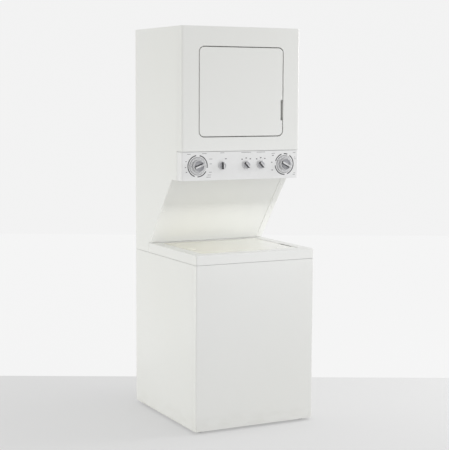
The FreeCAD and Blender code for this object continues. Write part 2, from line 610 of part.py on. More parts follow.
def rear_bulkhead():
    """The plate that closes the drum's back, with a land for the rear rim and the warm-air grille."""
    y0, y1 = BULKHEAD_BACK
    plate = block(-HALF + 6, HALF - 6, y0, y1, SHELF_TOP, HEIGHT - 8)
    land = tube(0, y0 - 18, DRUM_Z, 246, 244, 19, Y_AXIS)
    bulkhead = fuse(plate, land)
    holes = []
    for ring, count in ((0, 1), (1, 6), (2, 12), (3, 18)):
        for i in range(count):
            turn = 2 * math.pi * i / count
            x = HEATER_AXIS[0] + 21 * ring * math.cos(turn)
            z = HEATER_AXIS[1] + 21 * ring * math.sin(turn)
            holes.append(rod(x, y0 - 2, z, 6, 8, Y_AXIS))
    holes.append(rod(DUCT_AXIS[0], y0 - 2, DUCT_AXIS[1], DUCT_R + 1, 8, Y_AXIS))
    return bulkhead.cut(Part.makeCompound(holes))


def heater_box():
    """The sheet box behind the grille that holds the heating coil."""
    x, z = HEATER_AXIS
    y0, y1 = BULKHEAD_BACK[1], BACK_WALL - SHEET - 3
    shell = block(x - 80, x + 80, y0, y1, z - 150, z + 80)
    shell = shell.cut(block(x - 80 + SHEET, x + 80 - SHEET, y0 - 1, y1 - SHEET, z - 150 - 1, z + 80 - SHEET))
    supports = [block(x - 80 + SHEET, x + 80 - SHEET, y0 + 12, y0 + 15, z - 130 + 50 * i, z - 124 + 50 * i)
                for i in range(4)]
    return fuse(shell, *supports)


def lint_chute():
    """The duct from the door opening to the blower, with a slotted inlet and the lint screen's slot."""
    wall = 1.5
    x0, x1, y0, y1 = -CHUTE_HALF, CHUTE_HALF, BULKHEAD_FRONT[1] + 0.2, CHUTE_BACK
    upper = block(x0, x1, y0, y1, CHUTE_FLOOR, 1351)
    lower = block(x0, 235, y0, BLOWER_Y[0], CHUTE_FLOOR, 1262)
    drop = block(125, 235, 250, BLOWER_Y[0], 1160, 1262)
    duct = fuse(upper, lower, drop)
    inner = fuse(block(x0 + wall, x1 - wall, y0 + wall, y1 - wall, CHUTE_FLOOR + wall, 1352),
                 block(x0 + wall, 235 - wall, y0 + wall, BLOWER_Y[0] - wall,
                       CHUTE_FLOOR + wall, 1262 - wall),
                 block(125 + wall, 235 - wall, 250 + wall, BLOWER_Y[0] - wall, 1160 + wall, 1262 - wall))
    duct = duct.cut(inner)
    for i in range(11):
        x = -100 + 20 * i
        duct = duct.cut(fillet(block(x - 5, x + 5, y1 - 4, y1 + 4, 1292, 1342), 4.9, Y_AXIS))
    return duct.cut(rod(MOTOR_AXIS[0], BLOWER_Y[0] - 5, MOTOR_AXIS[1], 44, 10, Y_AXIS))


def lint_screen():
    """The lift-out lint screen: a plastic frame, a fine screen and a finger tab."""
    y0, y1 = BULKHEAD_FRONT[1] + 3.2, CHUTE_BACK - 2.6
    half, z0, z1 = CHUTE_HALF - 4, 1236.0, 1360.0
    frame = facing(half, z0, z1, y0, y1, 5).cut(facing(half - 7, z0 + 7, z1 - 12, y0 - 1, y1 + 1, 3))
    screen = block(-half + 5, half - 5, y0 + 2, y0 + 3, z0 + 5, z1 - 10)
    bars = [block(-half + 5, half - 5, y0 + 1, y1 - 1, z - 1.5, z + 1.5) for z in (1272.0, 1310.0)]
    return fuse(frame, screen, *bars)


def drum_shell():
    """The dryer's drum: a rolled cylinder with two beads and a turned-in rim at each end."""
    inner = DRUM_R - SHEET
    beads = [(DRUM_R, 0), (DRUM_R, 112), (DRUM_R - 3, 118), (DRUM_R, 124), (DRUM_R, 246), (DRUM_R - 3, 252),
             (DRUM_R, 258)]
    length = DRUM_BACK - DRUM_FRONT
    outside = beads + [(DRUM_R, length)]
    inside = [(r - SHEET, h) for r, h in reversed(beads[1:])]
    profile = outside + [(248.5, length), (248.5, length - SHEET), (inner, length - SHEET)] + inside
    profile += [(inner, SHEET), (LAND_R + 2.2, SHEET), (LAND_R + 2.2, 0)]
    return spun(profile, 0, DRUM_FRONT, Y_AXIS, DRUM_Z)


def drum_baffles():
    """Three hollow lifting vanes inside the drum, open where they meet its wall."""
    inner = DRUM_R - SHEET - 3.2
    vanes = []
    foot, crest, height = 34.0, 11.0, 46.0
    length = DRUM_BACK - DRUM_FRONT - 60
    corners = [Vec(-foot, 0, inner + 6), Vec(foot, 0, inner + 6), Vec(foot, 0, inner - 8),
               Vec(crest, 0, inner - height), Vec(-crest, 0, inner - height), Vec(-foot, 0, inner - 8)]
    core = [Vec(-foot + 3, 0, inner + 7), Vec(foot - 3, 0, inner + 7), Vec(foot - 3, 0, inner - 6),
            Vec(crest - 2, 0, inner - height + 3), Vec(-crest + 2, 0, inner - height + 3),
            Vec(-foot + 3, 0, inner - 6)]
    hollow = Part.Face(Part.makePolygon(core + core[:1])).extrude(Vec(0, length - 6, 0))
    hollow.translate(Vec(0, 3, 0))
    for i in range(3):
        vane = Part.Face(Part.makePolygon(corners + corners[:1])).extrude(Vec(0, length, 0))
        crest_edges = [e for e in vane.Edges if e.BoundBox.ZMax < inner - height + 0.1 and e.Length > 100]
        vane = vane.makeFillet(8.0, crest_edges).cut(hollow)
        vane = vane.common(rod(0, -1, 0, inner, 400, Y_AXIS))
        vane.rotate(Vec(0, 0, 0), Y_AXIS, 60 + 120 * i)
        vane.translate(Vec(0, DRUM_FRONT + 40, DRUM_Z))
        vanes.append(vane)
    return Part.makeCompound(vanes)


def roller_centres():
    """Where the two drum rollers sit, just clear of the drum's underside."""
    reach = DRUM_R + ROLLER_R + RUNNING
    drop = math.sqrt(reach ** 2 - ROLLER_OFFSET ** 2)
    return [(-ROLLER_OFFSET, DRUM_Z - drop), (ROLLER_OFFSET, DRUM_Z - drop)]


def drum_roller(x, z):
    """A rubber-tyred wheel under the drum's rear rim."""
    bore = SHAFT_R + FIT
    profile = [(bore, 0), (14, 0), (14, 5), (28, 5), (28, 0), (ROLLER_R, 0), (ROLLER_R, 20), (28, 20),
               (28, 15), (14, 15), (14, 20), (bore, 20)]
    return spun(profile, x, 560, Y_AXIS, z)


def belt_circles():
    """The drum, the motor's pulley and the idler in the order that the belt meets them, anticlockwise."""
    return [(0, DRUM_Z, DRUM_R + RUNNING), (*IDLER_AXIS, IDLER_R + RUNNING),
            (*MOTOR_AXIS, MOTOR_PULLEY_R + RUNNING)]


def drum_belt():
    """The flat ribbed belt round the drum, the motor's pulley and the idler."""
    start, end = PULLEY_Y[0] + 2 + RUNNING, PULLEY_Y[1] - 2 - RUNNING
    belt = hull_face(belt_circles(), 2.4).cut(hull_face(belt_circles(), 0)).extrude(Vec(0, end - start, 0))
    belt.translate(Vec(0, start, 0))
    return belt


def motor_case(x, y, z, length):
    """A vented motor: a steel can round a stator that both end bells hold, with its axis along Y."""
    can = rod(x, y, z, MOTOR_R, length, Y_AXIS)
    bells = [rod(x, y - 6, z, 42, 6, Y_AXIS), rod(x, y + length, z, 42, 6, Y_AXIS)]
    gap = tube(x, y + 4, z, MOTOR_R - 2.5, 47, length - 8, Y_AXIS)
    vents = []
    for i in range(10):
        turn = 2 * math.pi * i / 10
        vents.append(rod(x + 53 * math.cos(turn), y - 1, z + 53 * math.sin(turn), 4.5, length + 2, Y_AXIS))
    return fuse(can, *bells).cut(gap).cut(Part.makeCompound(vents))


def dryer_motor():
    """The dryer's motor, with its foot on the shelf and a bore for the shaft."""
    x, z = MOTOR_AXIS
    foot = block(x - 46, x + 46, 400, 488, SHELF_TOP, z - 40).cut(rod(x, 399, z, MOTOR_R - 1, 90, Y_AXIS))
    return fuse(motor_case(x, 388, z, 112), foot).cut(rod(x, 375, z, SHAFT_R + FIT, 140, Y_AXIS))


def dryer_motor_shaft():
    """The motor's through shaft, with the belt pulley on its back end."""
    x, z = MOTOR_AXIS
    shaft = rod(x, 312, z, SHAFT_R, 240, Y_AXIS)
    profile = [(0, 0), (14, 0), (14, 2), (MOTOR_PULLEY_R, 2), (MOTOR_PULLEY_R, 13), (14, 13), (14, 15),
               (0, 15)]
    return fuse(shaft, spun(profile, x, PULLEY_Y[0], Y_AXIS, z))


def blower_wheel():
    """The fan wheel on the front end of the motor's shaft."""
    x, z = MOTOR_AXIS
    hub = rod(x, 310, z, 16, 46, Y_AXIS)
    plate = rod(x, 352, z, 74, 4, Y_AXIS)
    ring = tube(x, 302, z, 74, 66, 4, Y_AXIS)
    blades = []
    for i in range(18):
        blade = block(52, 73, 304, 353, -1.1, 1.1)
        blade.rotate(Vec(0, 0, 0), Y_AXIS, 20 * i)
        blade.translate(Vec(x, 0, z))
        blades.append(blade)
    return fuse(hub, plate, ring, *blades).cut(rod(x, 300, z, SHAFT_R, 70, Y_AXIS))


def stub(x, z, radius, end):
    """The end of a pipe outside the back panel, with a stop ring at its root."""
    start, shoulder = STOP_RING
    ring = rod(x, start, z, radius + 3, shoulder - start, Y_AXIS)
    return fuse(ring, rod(x, start, z, radius, end - start, Y_AXIS))


def blower_housing():
    """The fan's scroll and the round exhaust duct that runs out through the back."""
    x, z = MOTOR_AXIS
    y0, y1 = BLOWER_Y
    wall = 1.6
    scroll = rod(x, y0, z, 92, y1 - y0, Y_AXIS)
    box = block(DUCT_AXIS[0] - 54, x, y0, y1, z - 92, z + 12)
    shell = fuse(scroll, box)
    hollow = fuse(rod(x, y0 + wall, z, 92 - wall, y1 - y0 - 2 * wall, Y_AXIS),
                  block(DUCT_AXIS[0] - 54 + wall, x, y0 + wall, y1 - wall, z - 92 + wall, z + 12 - wall))
    duct = rod(DUCT_AXIS[0], y1 - wall, DUCT_AXIS[1], DUCT_R - STUB_STEP, STOP_RING[1] - y1 + wall, Y_AXIS)
    bore = rod(DUCT_AXIS[0], y1 - wall - 1, DUCT_AXIS[1], DUCT_R - wall, DUCT_END - y1 + wall + 2, Y_AXIS)
    flange = rod(DUCT_AXIS[0], BACK_WALL - SHEET - 3, DUCT_AXIS[1], DUCT_R + 9, 3, Y_AXIS)
    housing = fuse(shell, duct, flange, stub(*DUCT_AXIS, DUCT_R, DUCT_END)).cut(hollow).cut(bore)
    housing = housing.cut(rod(x, y0 - 1, z, 46, wall + 2, Y_AXIS))
    return housing.cut(rod(x, y1 - wall - 1, z, 9, wall + 2, Y_AXIS))


def idler_arm():
    """The bracket on the shelf that holds the belt's idler."""
    x, z = IDLER_AXIS
    arm = fillet(block(x - 12, x + 12, 553, 557, SHELF_TOP, z + 14), 5, Y_AXIS, lambda point: point.z > z)
    foot = block(x - 12, x + 12, 553, 585, SHELF_TOP, SHELF_TOP + 3)
    axle = rod(x, 526, z, IDLER_BORE_R - FIT, 28, Y_AXIS)
    return fuse(arm, foot, axle)


def idler_pulley():
    """The wheel that keeps the belt tight."""
    x, z = IDLER_AXIS
    return spun([(IDLER_BORE_R, 0), (26, 0), (26, 2), (IDLER_R, 2), (IDLER_R, 15), (26, 15), (26, 17),
                 (IDLER_BORE_R, 17)], x, PULLEY_Y[0] - 1, Y_AXIS, z)


def dryer_base_shelf():
    """The shelf under the drum that carries the motor and the blower."""
    start, end = 292.0, BACK_WALL - SHEET - 6
    shelf = block(-HALF + 4, HALF - 4, start, end, SHELF_TOP - SHEET, SHELF_TOP)
    front = block(-HALF + 4, HALF - 4, start, start + SHEET, SHELF_TOP - 18, SHELF_TOP)
    return fuse(shelf, front)


def safety_switches():
    """The door's switch behind the recess floor and the lid's switch under the deck's."""
    x, z = DOOR_SWITCH
    y = DOOR_RECESS + SHEET
    door_case = block(x - 8, x + 8, y, BULKHEAD_FRONT[0] - 0.4, z - 14, z + 14)
    door_case = door_case.cut(rod(x, y - 1, z, PLUNGER_R + FIT, 16, Y_AXIS))
    x, y = LID_SWITCH
    top = RECESS_FLOOR - SHEET
    lid_case = block(x - 10, x + 10, y - 15, y + 15, top - 26, top)
    lid_case = lid_case.cut(rod(x, y, top - 16, PLUNGER_R + FIT, 20, Z_AXIS))
    return Part.makeCompound([door_case, lid_case])


def door_switch_plunger():
    """The plunger that the closed door pushes in."""
    x, z = DOOR_SWITCH
    y0 = DRYER_FRONT + 22 + RUNNING
    pin = rod(x, y0, z, PLUNGER_R, DOOR_RECESS + 10 - y0, Y_AXIS)
    return pin.makeFillet(0.8, [e for e in pin.Edges if e.BoundBox.YMax < y0 + 0.01])


def lid_switch_plunger():
    """The plunger that the closed lid pushes down."""
    x, y = LID_SWITCH
    low, high = RECESS_FLOOR - SHEET - 12, STRIKE_Z - RUNNING
    pin = rod(x, y, low, PLUNGER_R, high - low, Z_AXIS)
    return pin.makeFillet(0.8, [e for e in pin.Edges if e.BoundBox.ZMin > high - 0.01])


# ---------------------------------------------------------------- services at the back
def water_connections():
    """The inlet valve with its two hose threads, and the drain spigot."""
    y0, y1 = BACK_WALL - SHEET - 40, BACK_WALL - SHEET
    middle = sum(INLET_X) / 2
    valve = block(middle - 42, middle + 42, y0, y1, PORT_Z - 26, PORT_Z + 20)
    coils = [rod(x, y0 + 18, PORT_Z + 20, 14, 30, Z_AXIS) for x in INLET_X]
    necks = [rod(x, y1 - 2, PORT_Z, INLET_R - STUB_STEP, 6, Y_AXIS) for x in INLET_X]
    bores = [rod(x, y1 - 12, PORT_Z, 9, PORT_END - y1 + 14, Y_AXIS) for x in INLET_X]
    stubs = [stub(x, PORT_Z, INLET_R, PORT_END) for x in INLET_X]
    valve = fuse(valve, *coils, *necks, *stubs)
    for bore in bores:
        valve = valve.cut(bore)
    drain = fuse(rod(DRAIN_X, y0, PORT_Z, DRAIN_R - STUB_STEP, STOP_RING[1] - y0, Y_AXIS),
                 rod(DRAIN_X, y1 - 3, PORT_Z, DRAIN_R + 9, 3, Y_AXIS),
                 stub(DRAIN_X, PORT_Z, DRAIN_R, PORT_END))
    drain = drain.cut(rod(DRAIN_X, y0 - 1, PORT_Z, DRAIN_R - 3, PORT_END - y0 + 2, Y_AXIS))
    return Part.makeCompound([valve, drain])


def cord_inlet_bush():
    """The strain-relief bush that the power cord passes through."""
    x, z = CORD_INLET
    y = BACK_WALL
    return spun([(CORD_BORE_R, -SHEET - 9), (CORD_BUSH_R + 3, -SHEET - 9), (CORD_BUSH_R + 3, -SHEET),
                 (CORD_BUSH_R, -SHEET), (CORD_BUSH_R, 0), (CORD_BUSH_R + 4, 0), (CORD_BUSH_R + 3, 8),
                 (CORD_BUSH_R - 1, 14), (CORD_BORE_R, 14)], x, y, Y_AXIS, z)


def panel_screws():
    """Screw heads along the slope's flanges and round the upper back."""
    heads = []
    x = HALF - SLOPE_FLANGE / 2
    for side in (-1, 1):
        for share in (0.12, 0.5, 0.88):
            y, z = (SLOPE_BASE[i] + share * (SLOPE_TOP[i] - SLOPE_BASE[i]) for i in (0, 1))
            out = Vec(0, -(SLOPE_TOP[1] - SLOPE_BASE[1]), SLOPE_TOP[0] - SLOPE_BASE[0])
            head = Part.makeCylinder(4.2, 1.8, Vec(side * x, y, z), out)
            heads.append(head.makeFillet(1.2, [sorted(head.Edges, key=lambda e: e.CenterOfMass.y)[0]]))
    for z in (800.0, 1050.0, 1300.0, 1550.0, 1790.0):
        for side in (-1, 1):
            heads.append(rod(side * (HALF - 14), BACK_WALL, z, 4.2, 2, Y_AXIS))
    return Part.makeCompound(heads)


# ---------------------------------------------------------------- tub and drive
def outer_tub():
    """The plastic tub, with a seal neck at its centre and four ears for the suspension rods."""
    height = TUB_TOP - TUB_BOTTOM
    inner = TUB_R - TUB_WALL
    profile = [(26, 0), (TUB_R - 14, 0), (TUB_R, 14), (TUB_R, height - 10), (TUB_R + 5, height - 10),
               (TUB_R + 5, height), (inner, height), (inner, 16), (inner - 12, TUB_WALL),
               (32, TUB_WALL), (32, 14), (26, 14)]
    shell = spun(profile, 0, TUB_Y, Z_AXIS, TUB_BOTTOM)
    ears = []
    for x in (-ROD_X, ROD_X):
        for y in ROD_Y:
            away = Vec(x, y - TUB_Y, 0)
            reach = away.Length
            plate = block(TUB_R - 3, reach + 16, -17, 17, 0, 7)
            web = slab([(-3, -44), (3, -44), (3, 1), (-3, 1)], TUB_R - 3, reach - 30)
            cup = tube(reach, 0, 0, 17, 8, 7, Z_AXIS)
            ear = fuse(plate.cut(rod(reach, 0, -1, 8, 10, Z_AXIS)), cup, web)
            ear.rotate(Vec(0, 0, 0), Z_AXIS, math.degrees(math.atan2(away.y, away.x)))
            ear.translate(Vec(0, TUB_Y, SPRING_TOP))
            ears.append(ear)
    inside = rod(0, TUB_Y, TUB_BOTTOM + 16, inner, height, Z_AXIS)
    return fuse(shell, *[ear.cut(inside) for ear in ears])


def tub_cover():
    """The splash ring on top of the tub."""
    profile = [(TUB_R + 5, 0), (TUB_R + 5, 5), (TUB_R - 18, 10), (202, 10), (196, 4), (196, -16), (199, -16),
               (199, 2), (204, 7), (TUB_R - 18, 7), (TUB_R - 8, 2.5), (TUB_R - 8, 0)]
    return spun(profile, 0, TUB_Y, Z_AXIS, TUB_TOP)


def wash_basket():
    """The spin basket with its drive neck, which turns inside the tub's seal and the gearcase."""
    bottom, top, wall = BASKET_BOTTOM, BASKET_TOP, 1.5
    profile = [(11, 250), (20, 250), (20, bottom - 2), (BASKET_R - 24, bottom), (BASKET_R - 6, bottom + 8),
               (BASKET_R, bottom + 26), (BASKET_R, top), (BASKET_R + 3, top + 4), (BASKET_R - 6, top + 4),
               (BASKET_R - wall, top - 2), (BASKET_R - wall, bottom + 27), (BASKET_R - 7, bottom + 10),
               (BASKET_R - 25, bottom + wall + 1), (34, bottom + 3), (34, bottom + 12), (11, bottom + 12)]
    return spun(profile, 0, TUB_Y)


def balance_ring():
    """The liquid-filled ring inside the basket's rim."""
    outer = BASKET_R - 1.8
    profile = [(outer - 34, 672), (outer - 30, 668), (outer, 668), (outer, 702), (outer - 26, 704),
               (outer - 34, 698)]
    return spun(profile, 0, TUB_Y)


def agitator():
    """The agitator's base: a flared skirt with four fins on a hollow column, splined to the drive."""
    skirt = spun([(0, 326.5), (150, 326.5), (152, 332), (120, 342), (78, 362), (56, 400), (47, 460),
                  (43, AUGER_FOOT), (0, AUGER_FOOT)], 0, TUB_Y)
    outline = spun([(0, 330), (150, 330), (146, 352), (112, 392), (78, 450), (50, 497), (0, 497)], 0, 0)
    fins = []
    for i in range(4):
        fin = slab([(-4, 330), (4, 330), (2.4, 500), (-2.4, 500)], 30, 150).common(outline)
        fin.rotate(Vec(0, 0, 0), Z_AXIS, 45 + 90 * i)
        fin.translate(Vec(0, TUB_Y, 0))
        fins.append(fin)
    hollow = spun([(11, 325), (143, 325), (112, 339), (70, 360), (49, 400), (41, 460), (38, AUGER_FOOT - 4),
                   (11, AUGER_FOOT - 4)], 0, TUB_Y)
    spline = rod(0, TUB_Y, 300, 10.5, AUGER_FOOT - 300, Z_AXIS)
    return fuse(skirt, *fins).cut(hollow).fuse(spline).removeSplitter()


def agitator_auger():
    """The agitator's upper column, which carries two broken spiral vanes and a domed cap."""
    column = spun([(0, AUGER_FOOT), (42, AUGER_FOOT), (40, 660), (36, 672), (24, 676), (0, 677)], 0, TUB_Y)
    hollow = spun([(0, AUGER_FOOT - 1), (37, AUGER_FOOT - 1), (35, 656), (0, 668)], 0, TUB_Y)
    vanes = []
    for start in (0, 180):
        for step in range(6):
            vane = block(34, 66 - step, -12, 12, -3, 3)
            vane.rotate(Vec(0, 0, 0), X_AXIS, 38)
            vane.rotate(Vec(0, 0, 0), Z_AXIS, start + 25 * step)
            vane.translate(Vec(0, TUB_Y, AUGER_FOOT + 22 + 21 * step))
            vanes.append(vane)
    return fuse(column, *vanes).cut(hollow)


def gearcase():
    """The transmission under the tub, with the mounting plate and the motor's bracket arms."""
    plate = tube(0, TUB_Y, TUB_BOTTOM - 8, 150, 26, 8, Z_AXIS)
    spokes = [block(-18, 18, TUB_Y - 150, TUB_Y - 70, TUB_BOTTOM - 14, TUB_BOTTOM - 8)]
    case = fillet(block(-68, 68, 212, 345, 140, TUB_BOTTOM - 34), 12, Z_AXIS)
    neck = rod(0, TUB_Y, 240, 44, TUB_BOTTOM - 8 - 240, Z_AXIS)
    body = fuse(case, neck, plate, *spokes)
    body = body.cut(rod(0, TUB_Y, 246, 20.4, 60, Z_AXIS))
    return body.cut(rod(0, 205, DRIVE_Z, SHAFT_R + FIT, 25, Y_AXIS))


def washer_motor():
    """The washer's motor, lying in front of the gearcase."""
    saddle = block(-30, 30, 127, 178, DRIVE_Z + 50, TUB_BOTTOM - 14)
    saddle = saddle.cut(rod(0, 126, DRIVE_Z, MOTOR_R - 1, 53, Y_AXIS))
    case = motor_case(0, 80, DRIVE_Z, 104)
    return fuse(case, saddle).cut(rod(0, 168, DRIVE_Z, SHAFT_R + FIT, 25, Y_AXIS))


def motor_coupling():
    """The toothed coupling between the motor and the gearcase, on its own stub shaft."""
    shaft = rod(0, 171, DRIVE_Z, SHAFT_R, 56, Y_AXIS)
    hub = rod(0, 192, DRIVE_Z, 26, 17, Y_AXIS)
    notches = []
    for i in range(6):
        notch = block(20, 30, 196, 205, -3, 3)
        notch.rotate(Vec(0, 0, 0), Y_AXIS, 60 * i)
        notch.translate(Vec(0, 0, DRIVE_Z))
        notches.append(notch)
    return fuse(hub.cut(Part.makeCompound(notches)), shaft)


def drain_pump():
    """The drain pump clipped to the motor's front end, with its two hose spigots."""
    body = rod(0, 34, DRIVE_Z, 44, 40, Y_AXIS)
    inlet = rod(-20, 54, DRIVE_Z + 30, 14, 55, Z_AXIS)
    outlet = rod(30, 54, DRIVE_Z - 20, 11, 50, X_AXIS)
    return fuse(body, inlet, outlet).cut(rod(-20, 54, DRIVE_Z + 60, 11, 30, Z_AXIS))


def suspension_rods():
    """Four rods that hang from corner brackets, each with a cup that holds its spring."""
    rods = []
    for side in (-1, 1):
        for y in ROD_Y:
            x = side * ROD_X
            wall = side * (HALF - SHEET - 0.1)
            bracket = block(*sorted((x - side * 14, wall)), y - 14, y + 14, 742, 746)
            web = block(*sorted((wall - side * 3.9, wall)), y - 14, y + 14, 716, 746)
            stem = rod(x, y, 326, 4, 428, Z_AXIS)
            ball = rod(x, y, 746, 10, 9, Z_AXIS)
            cup = rod(x, y, SPRING_BOTTOM - 5, 17, 5, Z_AXIS)
            rods.append(fuse(bracket, web, stem, ball, cup))
    return Part.makeCompound(rods)


def suspension_springs():
    """The four coil springs between the rods' cups and the tub's ears."""
    wire_r, coil_r, turns = 1.9, 11.5, 5
    height = SPRING_TOP - SPRING_BOTTOM - 2 * wire_r
    helix = Part.makeHelix(height / turns, height, coil_r)
    profile = Part.Wire([Part.makeCircle(wire_r, Vec(coil_r, 0, 0), Y_AXIS)])
    coil = Part.Wire(helix.Edges).makePipeShell([profile], True, True)
    springs = []
    for x in (-ROD_X, ROD_X):
        for y in ROD_Y:
            spring = coil.copy()
            spring.translate(Vec(x, y, SPRING_BOTTOM + wire_r))
            springs.append(spring)
    return Part.makeCompound(springs)


def main():
    os.makedirs("parts", exist_ok=True)
    washer = [washer_front_panel, washer_cabinet, base_frame, leveling_feet, washer_top_deck, washer_lid,
              lid_switch_plunger, water_connections, outer_tub, tub_cover, wash_basket, balance_ring,
              agitator, agitator_auger, gearcase, washer_motor, motor_coupling, drain_pump,
              suspension_rods, suspension_springs]
    dryer = [slant_panel, top_panel, upper_back_panel, dryer_front_panel, console_panel,
             console_switches, door_outer_panel, door_inner_liner, door_seal, door_switch_plunger,
             front_bulkhead, rear_bulkhead, heater_box, lint_chute, lint_screen, drum_shell,
             drum_baffles, drum_belt, dryer_motor, dryer_motor_shaft, blower_wheel, blower_housing,
             idler_arm, idler_pulley, dryer_base_shelf, cord_inlet_bush]
    both = [safety_switches, pivot_pins, panel_screws]
    for make in washer + dryer + both:
        save(make(), make.__name__)
    save(cabinet_side(-1), "cabinet_side_left")
    save(cabinet_side(1), "cabinet_side_right")
    for name, (x, z) in zip(("drum_roller_left", "drum_roller_right"), roller_centres()):
        save(drum_roller(x, z), name)
    timers = (("washer_timer", WASHER_TIMER_TILT), ("dryer_timer", DRYER_TIMER_TILT))
    for x, (name, tilt) in zip(TIMER_X, timers):
        save(timer_dial(x), name + "_dial")
        save(timer_knob(x, tilt), name + "_knob")
    selectors = ("water_level_knob", "water_temperature_knob", "dryer_heat_knob")
    for name, x, tilt in zip(selectors, SELECTOR_X, SELECTOR_TILTS):
        save(selector_knob(x, tilt), name)


main()
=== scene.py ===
"""Looks for the laundry stack: materials on the CAD panels, finer controls, basket and small parts,
and the studio round them.

Lengths are metres in the part's own frame: +X right, +Y back, +Z up, and the front faces -Y.
"""

import json
import math
import random

import bmesh
import bpy
from mathutils import Matrix, Vector


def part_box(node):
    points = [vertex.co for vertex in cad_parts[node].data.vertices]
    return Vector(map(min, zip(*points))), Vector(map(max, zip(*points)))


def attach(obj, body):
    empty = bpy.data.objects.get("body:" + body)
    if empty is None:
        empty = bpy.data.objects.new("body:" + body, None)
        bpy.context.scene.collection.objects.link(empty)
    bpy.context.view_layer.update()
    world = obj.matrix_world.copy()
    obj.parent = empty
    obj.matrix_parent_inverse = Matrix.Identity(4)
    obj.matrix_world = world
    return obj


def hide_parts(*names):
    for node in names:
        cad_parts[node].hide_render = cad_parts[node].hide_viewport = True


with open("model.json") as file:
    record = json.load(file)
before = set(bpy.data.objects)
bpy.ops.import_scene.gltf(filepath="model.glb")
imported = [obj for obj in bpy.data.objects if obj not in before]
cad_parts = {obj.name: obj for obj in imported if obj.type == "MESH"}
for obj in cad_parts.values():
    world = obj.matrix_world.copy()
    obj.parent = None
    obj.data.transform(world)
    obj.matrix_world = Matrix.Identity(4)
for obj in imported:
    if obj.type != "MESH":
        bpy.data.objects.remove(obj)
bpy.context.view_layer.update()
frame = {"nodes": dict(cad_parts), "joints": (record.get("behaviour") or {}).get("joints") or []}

MM = 0.001
JOINTS = {joint["name"]: joint for joint in frame["joints"]}
random.seed(4)

# camera
CAMERA_AT = (-2.6502, -5.2122, 1.5357)
CAMERA_YAW = 0.4719             # radians from +Y towards +X
CAMERA_PITCH = 0.1083           # radians down
CAMERA_ROLL = 0.0047
CAMERA_LENS = 99.06             # mm

# colours, linear
ENAMEL = (0.797, 0.80, 0.785)
ENAMEL_AGED = (0.77, 0.772, 0.742)
# the lid's painted shade and painted reflection: darker and warmer at its left, lighter at its right
LID_LEFT_SHADE_AND_REFLECTION = (0.76, 0.74, 0.64)
LID_RIGHT_LIT = (0.80, 0.80, 0.75)
CONSOLE = (0.80, 0.80, 0.80)
GRIME = (0.60, 0.585, 0.53)
KNOB = (0.68, 0.68, 0.685)
# the knobs' faces: a darker grey that is partly their own tone and partly painted shade and painted
# reflection
KNOB_FACE_SHADED = (0.42, 0.42, 0.445)
# the grips' dark plastic, which also stands for painted shade on their flanks
GRIP_DARK_AND_SHADE = (0.030, 0.030, 0.032)
DIAL = (0.70, 0.70, 0.71)
INK = (0.07, 0.07, 0.075)
INK_PALE = (0.22, 0.22, 0.225)
WORN_INK = 0.75                 # the grey that worn ink fades towards


# ---------------------------------------------------------------- mesh helpers
def new_object(name, bm, material, body, smooth=True, angle=35):
    """Turns a bmesh into an object that rides on a body."""
    bmesh.ops.recalc_face_normals(bm, faces=bm.faces)
    mesh = bpy.data.meshes.new(name)
    bm.to_mesh(mesh)
    bm.free()
    obj = bpy.data.objects.new(name, mesh)
    bpy.context.scene.collection.objects.link(obj)
    mesh.materials.append(material)
    if smooth:
        mesh.shade_smooth()
        mesh.set_sharp_from_angle(angle=math.radians(angle))
    if body:
        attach(obj, body)
    return obj


def in_metres(points):
    """Turns a profile in millimetres into metres."""
    return [(radius * MM, height * MM) for radius, height in points]


def add_box(bm, low, high, bevel=0.0):
    """Adds a box with round edges to a bmesh."""
    size = [high[i] - low[i] for i in range(3)]
    middle = Vector([(high[i] + low[i]) / 2 for i in range(3)])
    matrix = Matrix.Translation(middle) @ Matrix.Diagonal((*size, 1.0))
    part = bmesh.ops.create_cube(bm, size=1.0, matrix=matrix)
    if bevel > 0:
        edges = list({edge for vert in part["verts"] for edge in vert.link_edges})
        bmesh.ops.bevel(bm, geom=edges, offset=bevel, segments=2, profile=0.5, affect="EDGES")


def add_lathe(bm, profile, centre, axis="Z", steps=96, wobble=None):
    """Adds a closed solid of revolution from (radius, height) points, in metres.

    Axis Z points up and axis -Y points out of the console. The wobble gives what a rib or a flute adds to
    the radius at an angle.
    """
    rings = []
    for radius, height in profile:
        ring = []
        for i in range(steps):
            turn = 2 * math.pi * i / steps
            r = radius + (wobble(turn, radius, height) if wobble else 0.0)
            across, up = r * math.cos(turn), r * math.sin(turn)
            point = (across, up, height) if axis == "Z" else (across, -height, up)
            ring.append(bm.verts.new(Vector(centre) + Vector(point)))
            if radius < 1e-7:
                break
        rings.append(ring)
    for lower, upper in zip(rings, rings[1:] + rings[:1]):
        if len(lower) == 1 and len(upper) == 1:
            continue
        for i in range(steps):
            j = (i + 1) % steps
            if len(lower) == 1:
                bm.faces.new((lower[0], upper[i], upper[j]))
            elif len(upper) == 1:
                bm.faces.new((lower[i], lower[j], upper[0]))
            else:
                bm.faces.new((lower[i], lower[j], upper[j], upper[i]))


def add_arc(bm, centre, inner, outer, start, end, y0, y1):
    """Adds a flat ring segment on the console, in degrees anticlockwise from +X."""
    steps = max(3, int(abs(end - start) / 4))
    rings = []
    for i in range(steps + 1):
        turn = math.radians(start + (end - start) * i / steps)
        direction = Vector((math.cos(turn), 0, math.sin(turn)))
        corners = [direction * r + Vector((centre[0], y, centre[2])) for r, y in
                   ((inner, y0), (outer, y0), (outer, y1), (inner, y1))]
        rings.append([bm.verts.new(corner) for corner in corners])
    for a, b in zip(rings, rings[1:]):
        for k in range(4):
            bm.faces.new((a[k], a[(k + 1) % 4], b[(k + 1) % 4], b[k]))
    bm.faces.new(rings[0])
    bm.faces.new(rings[-1])


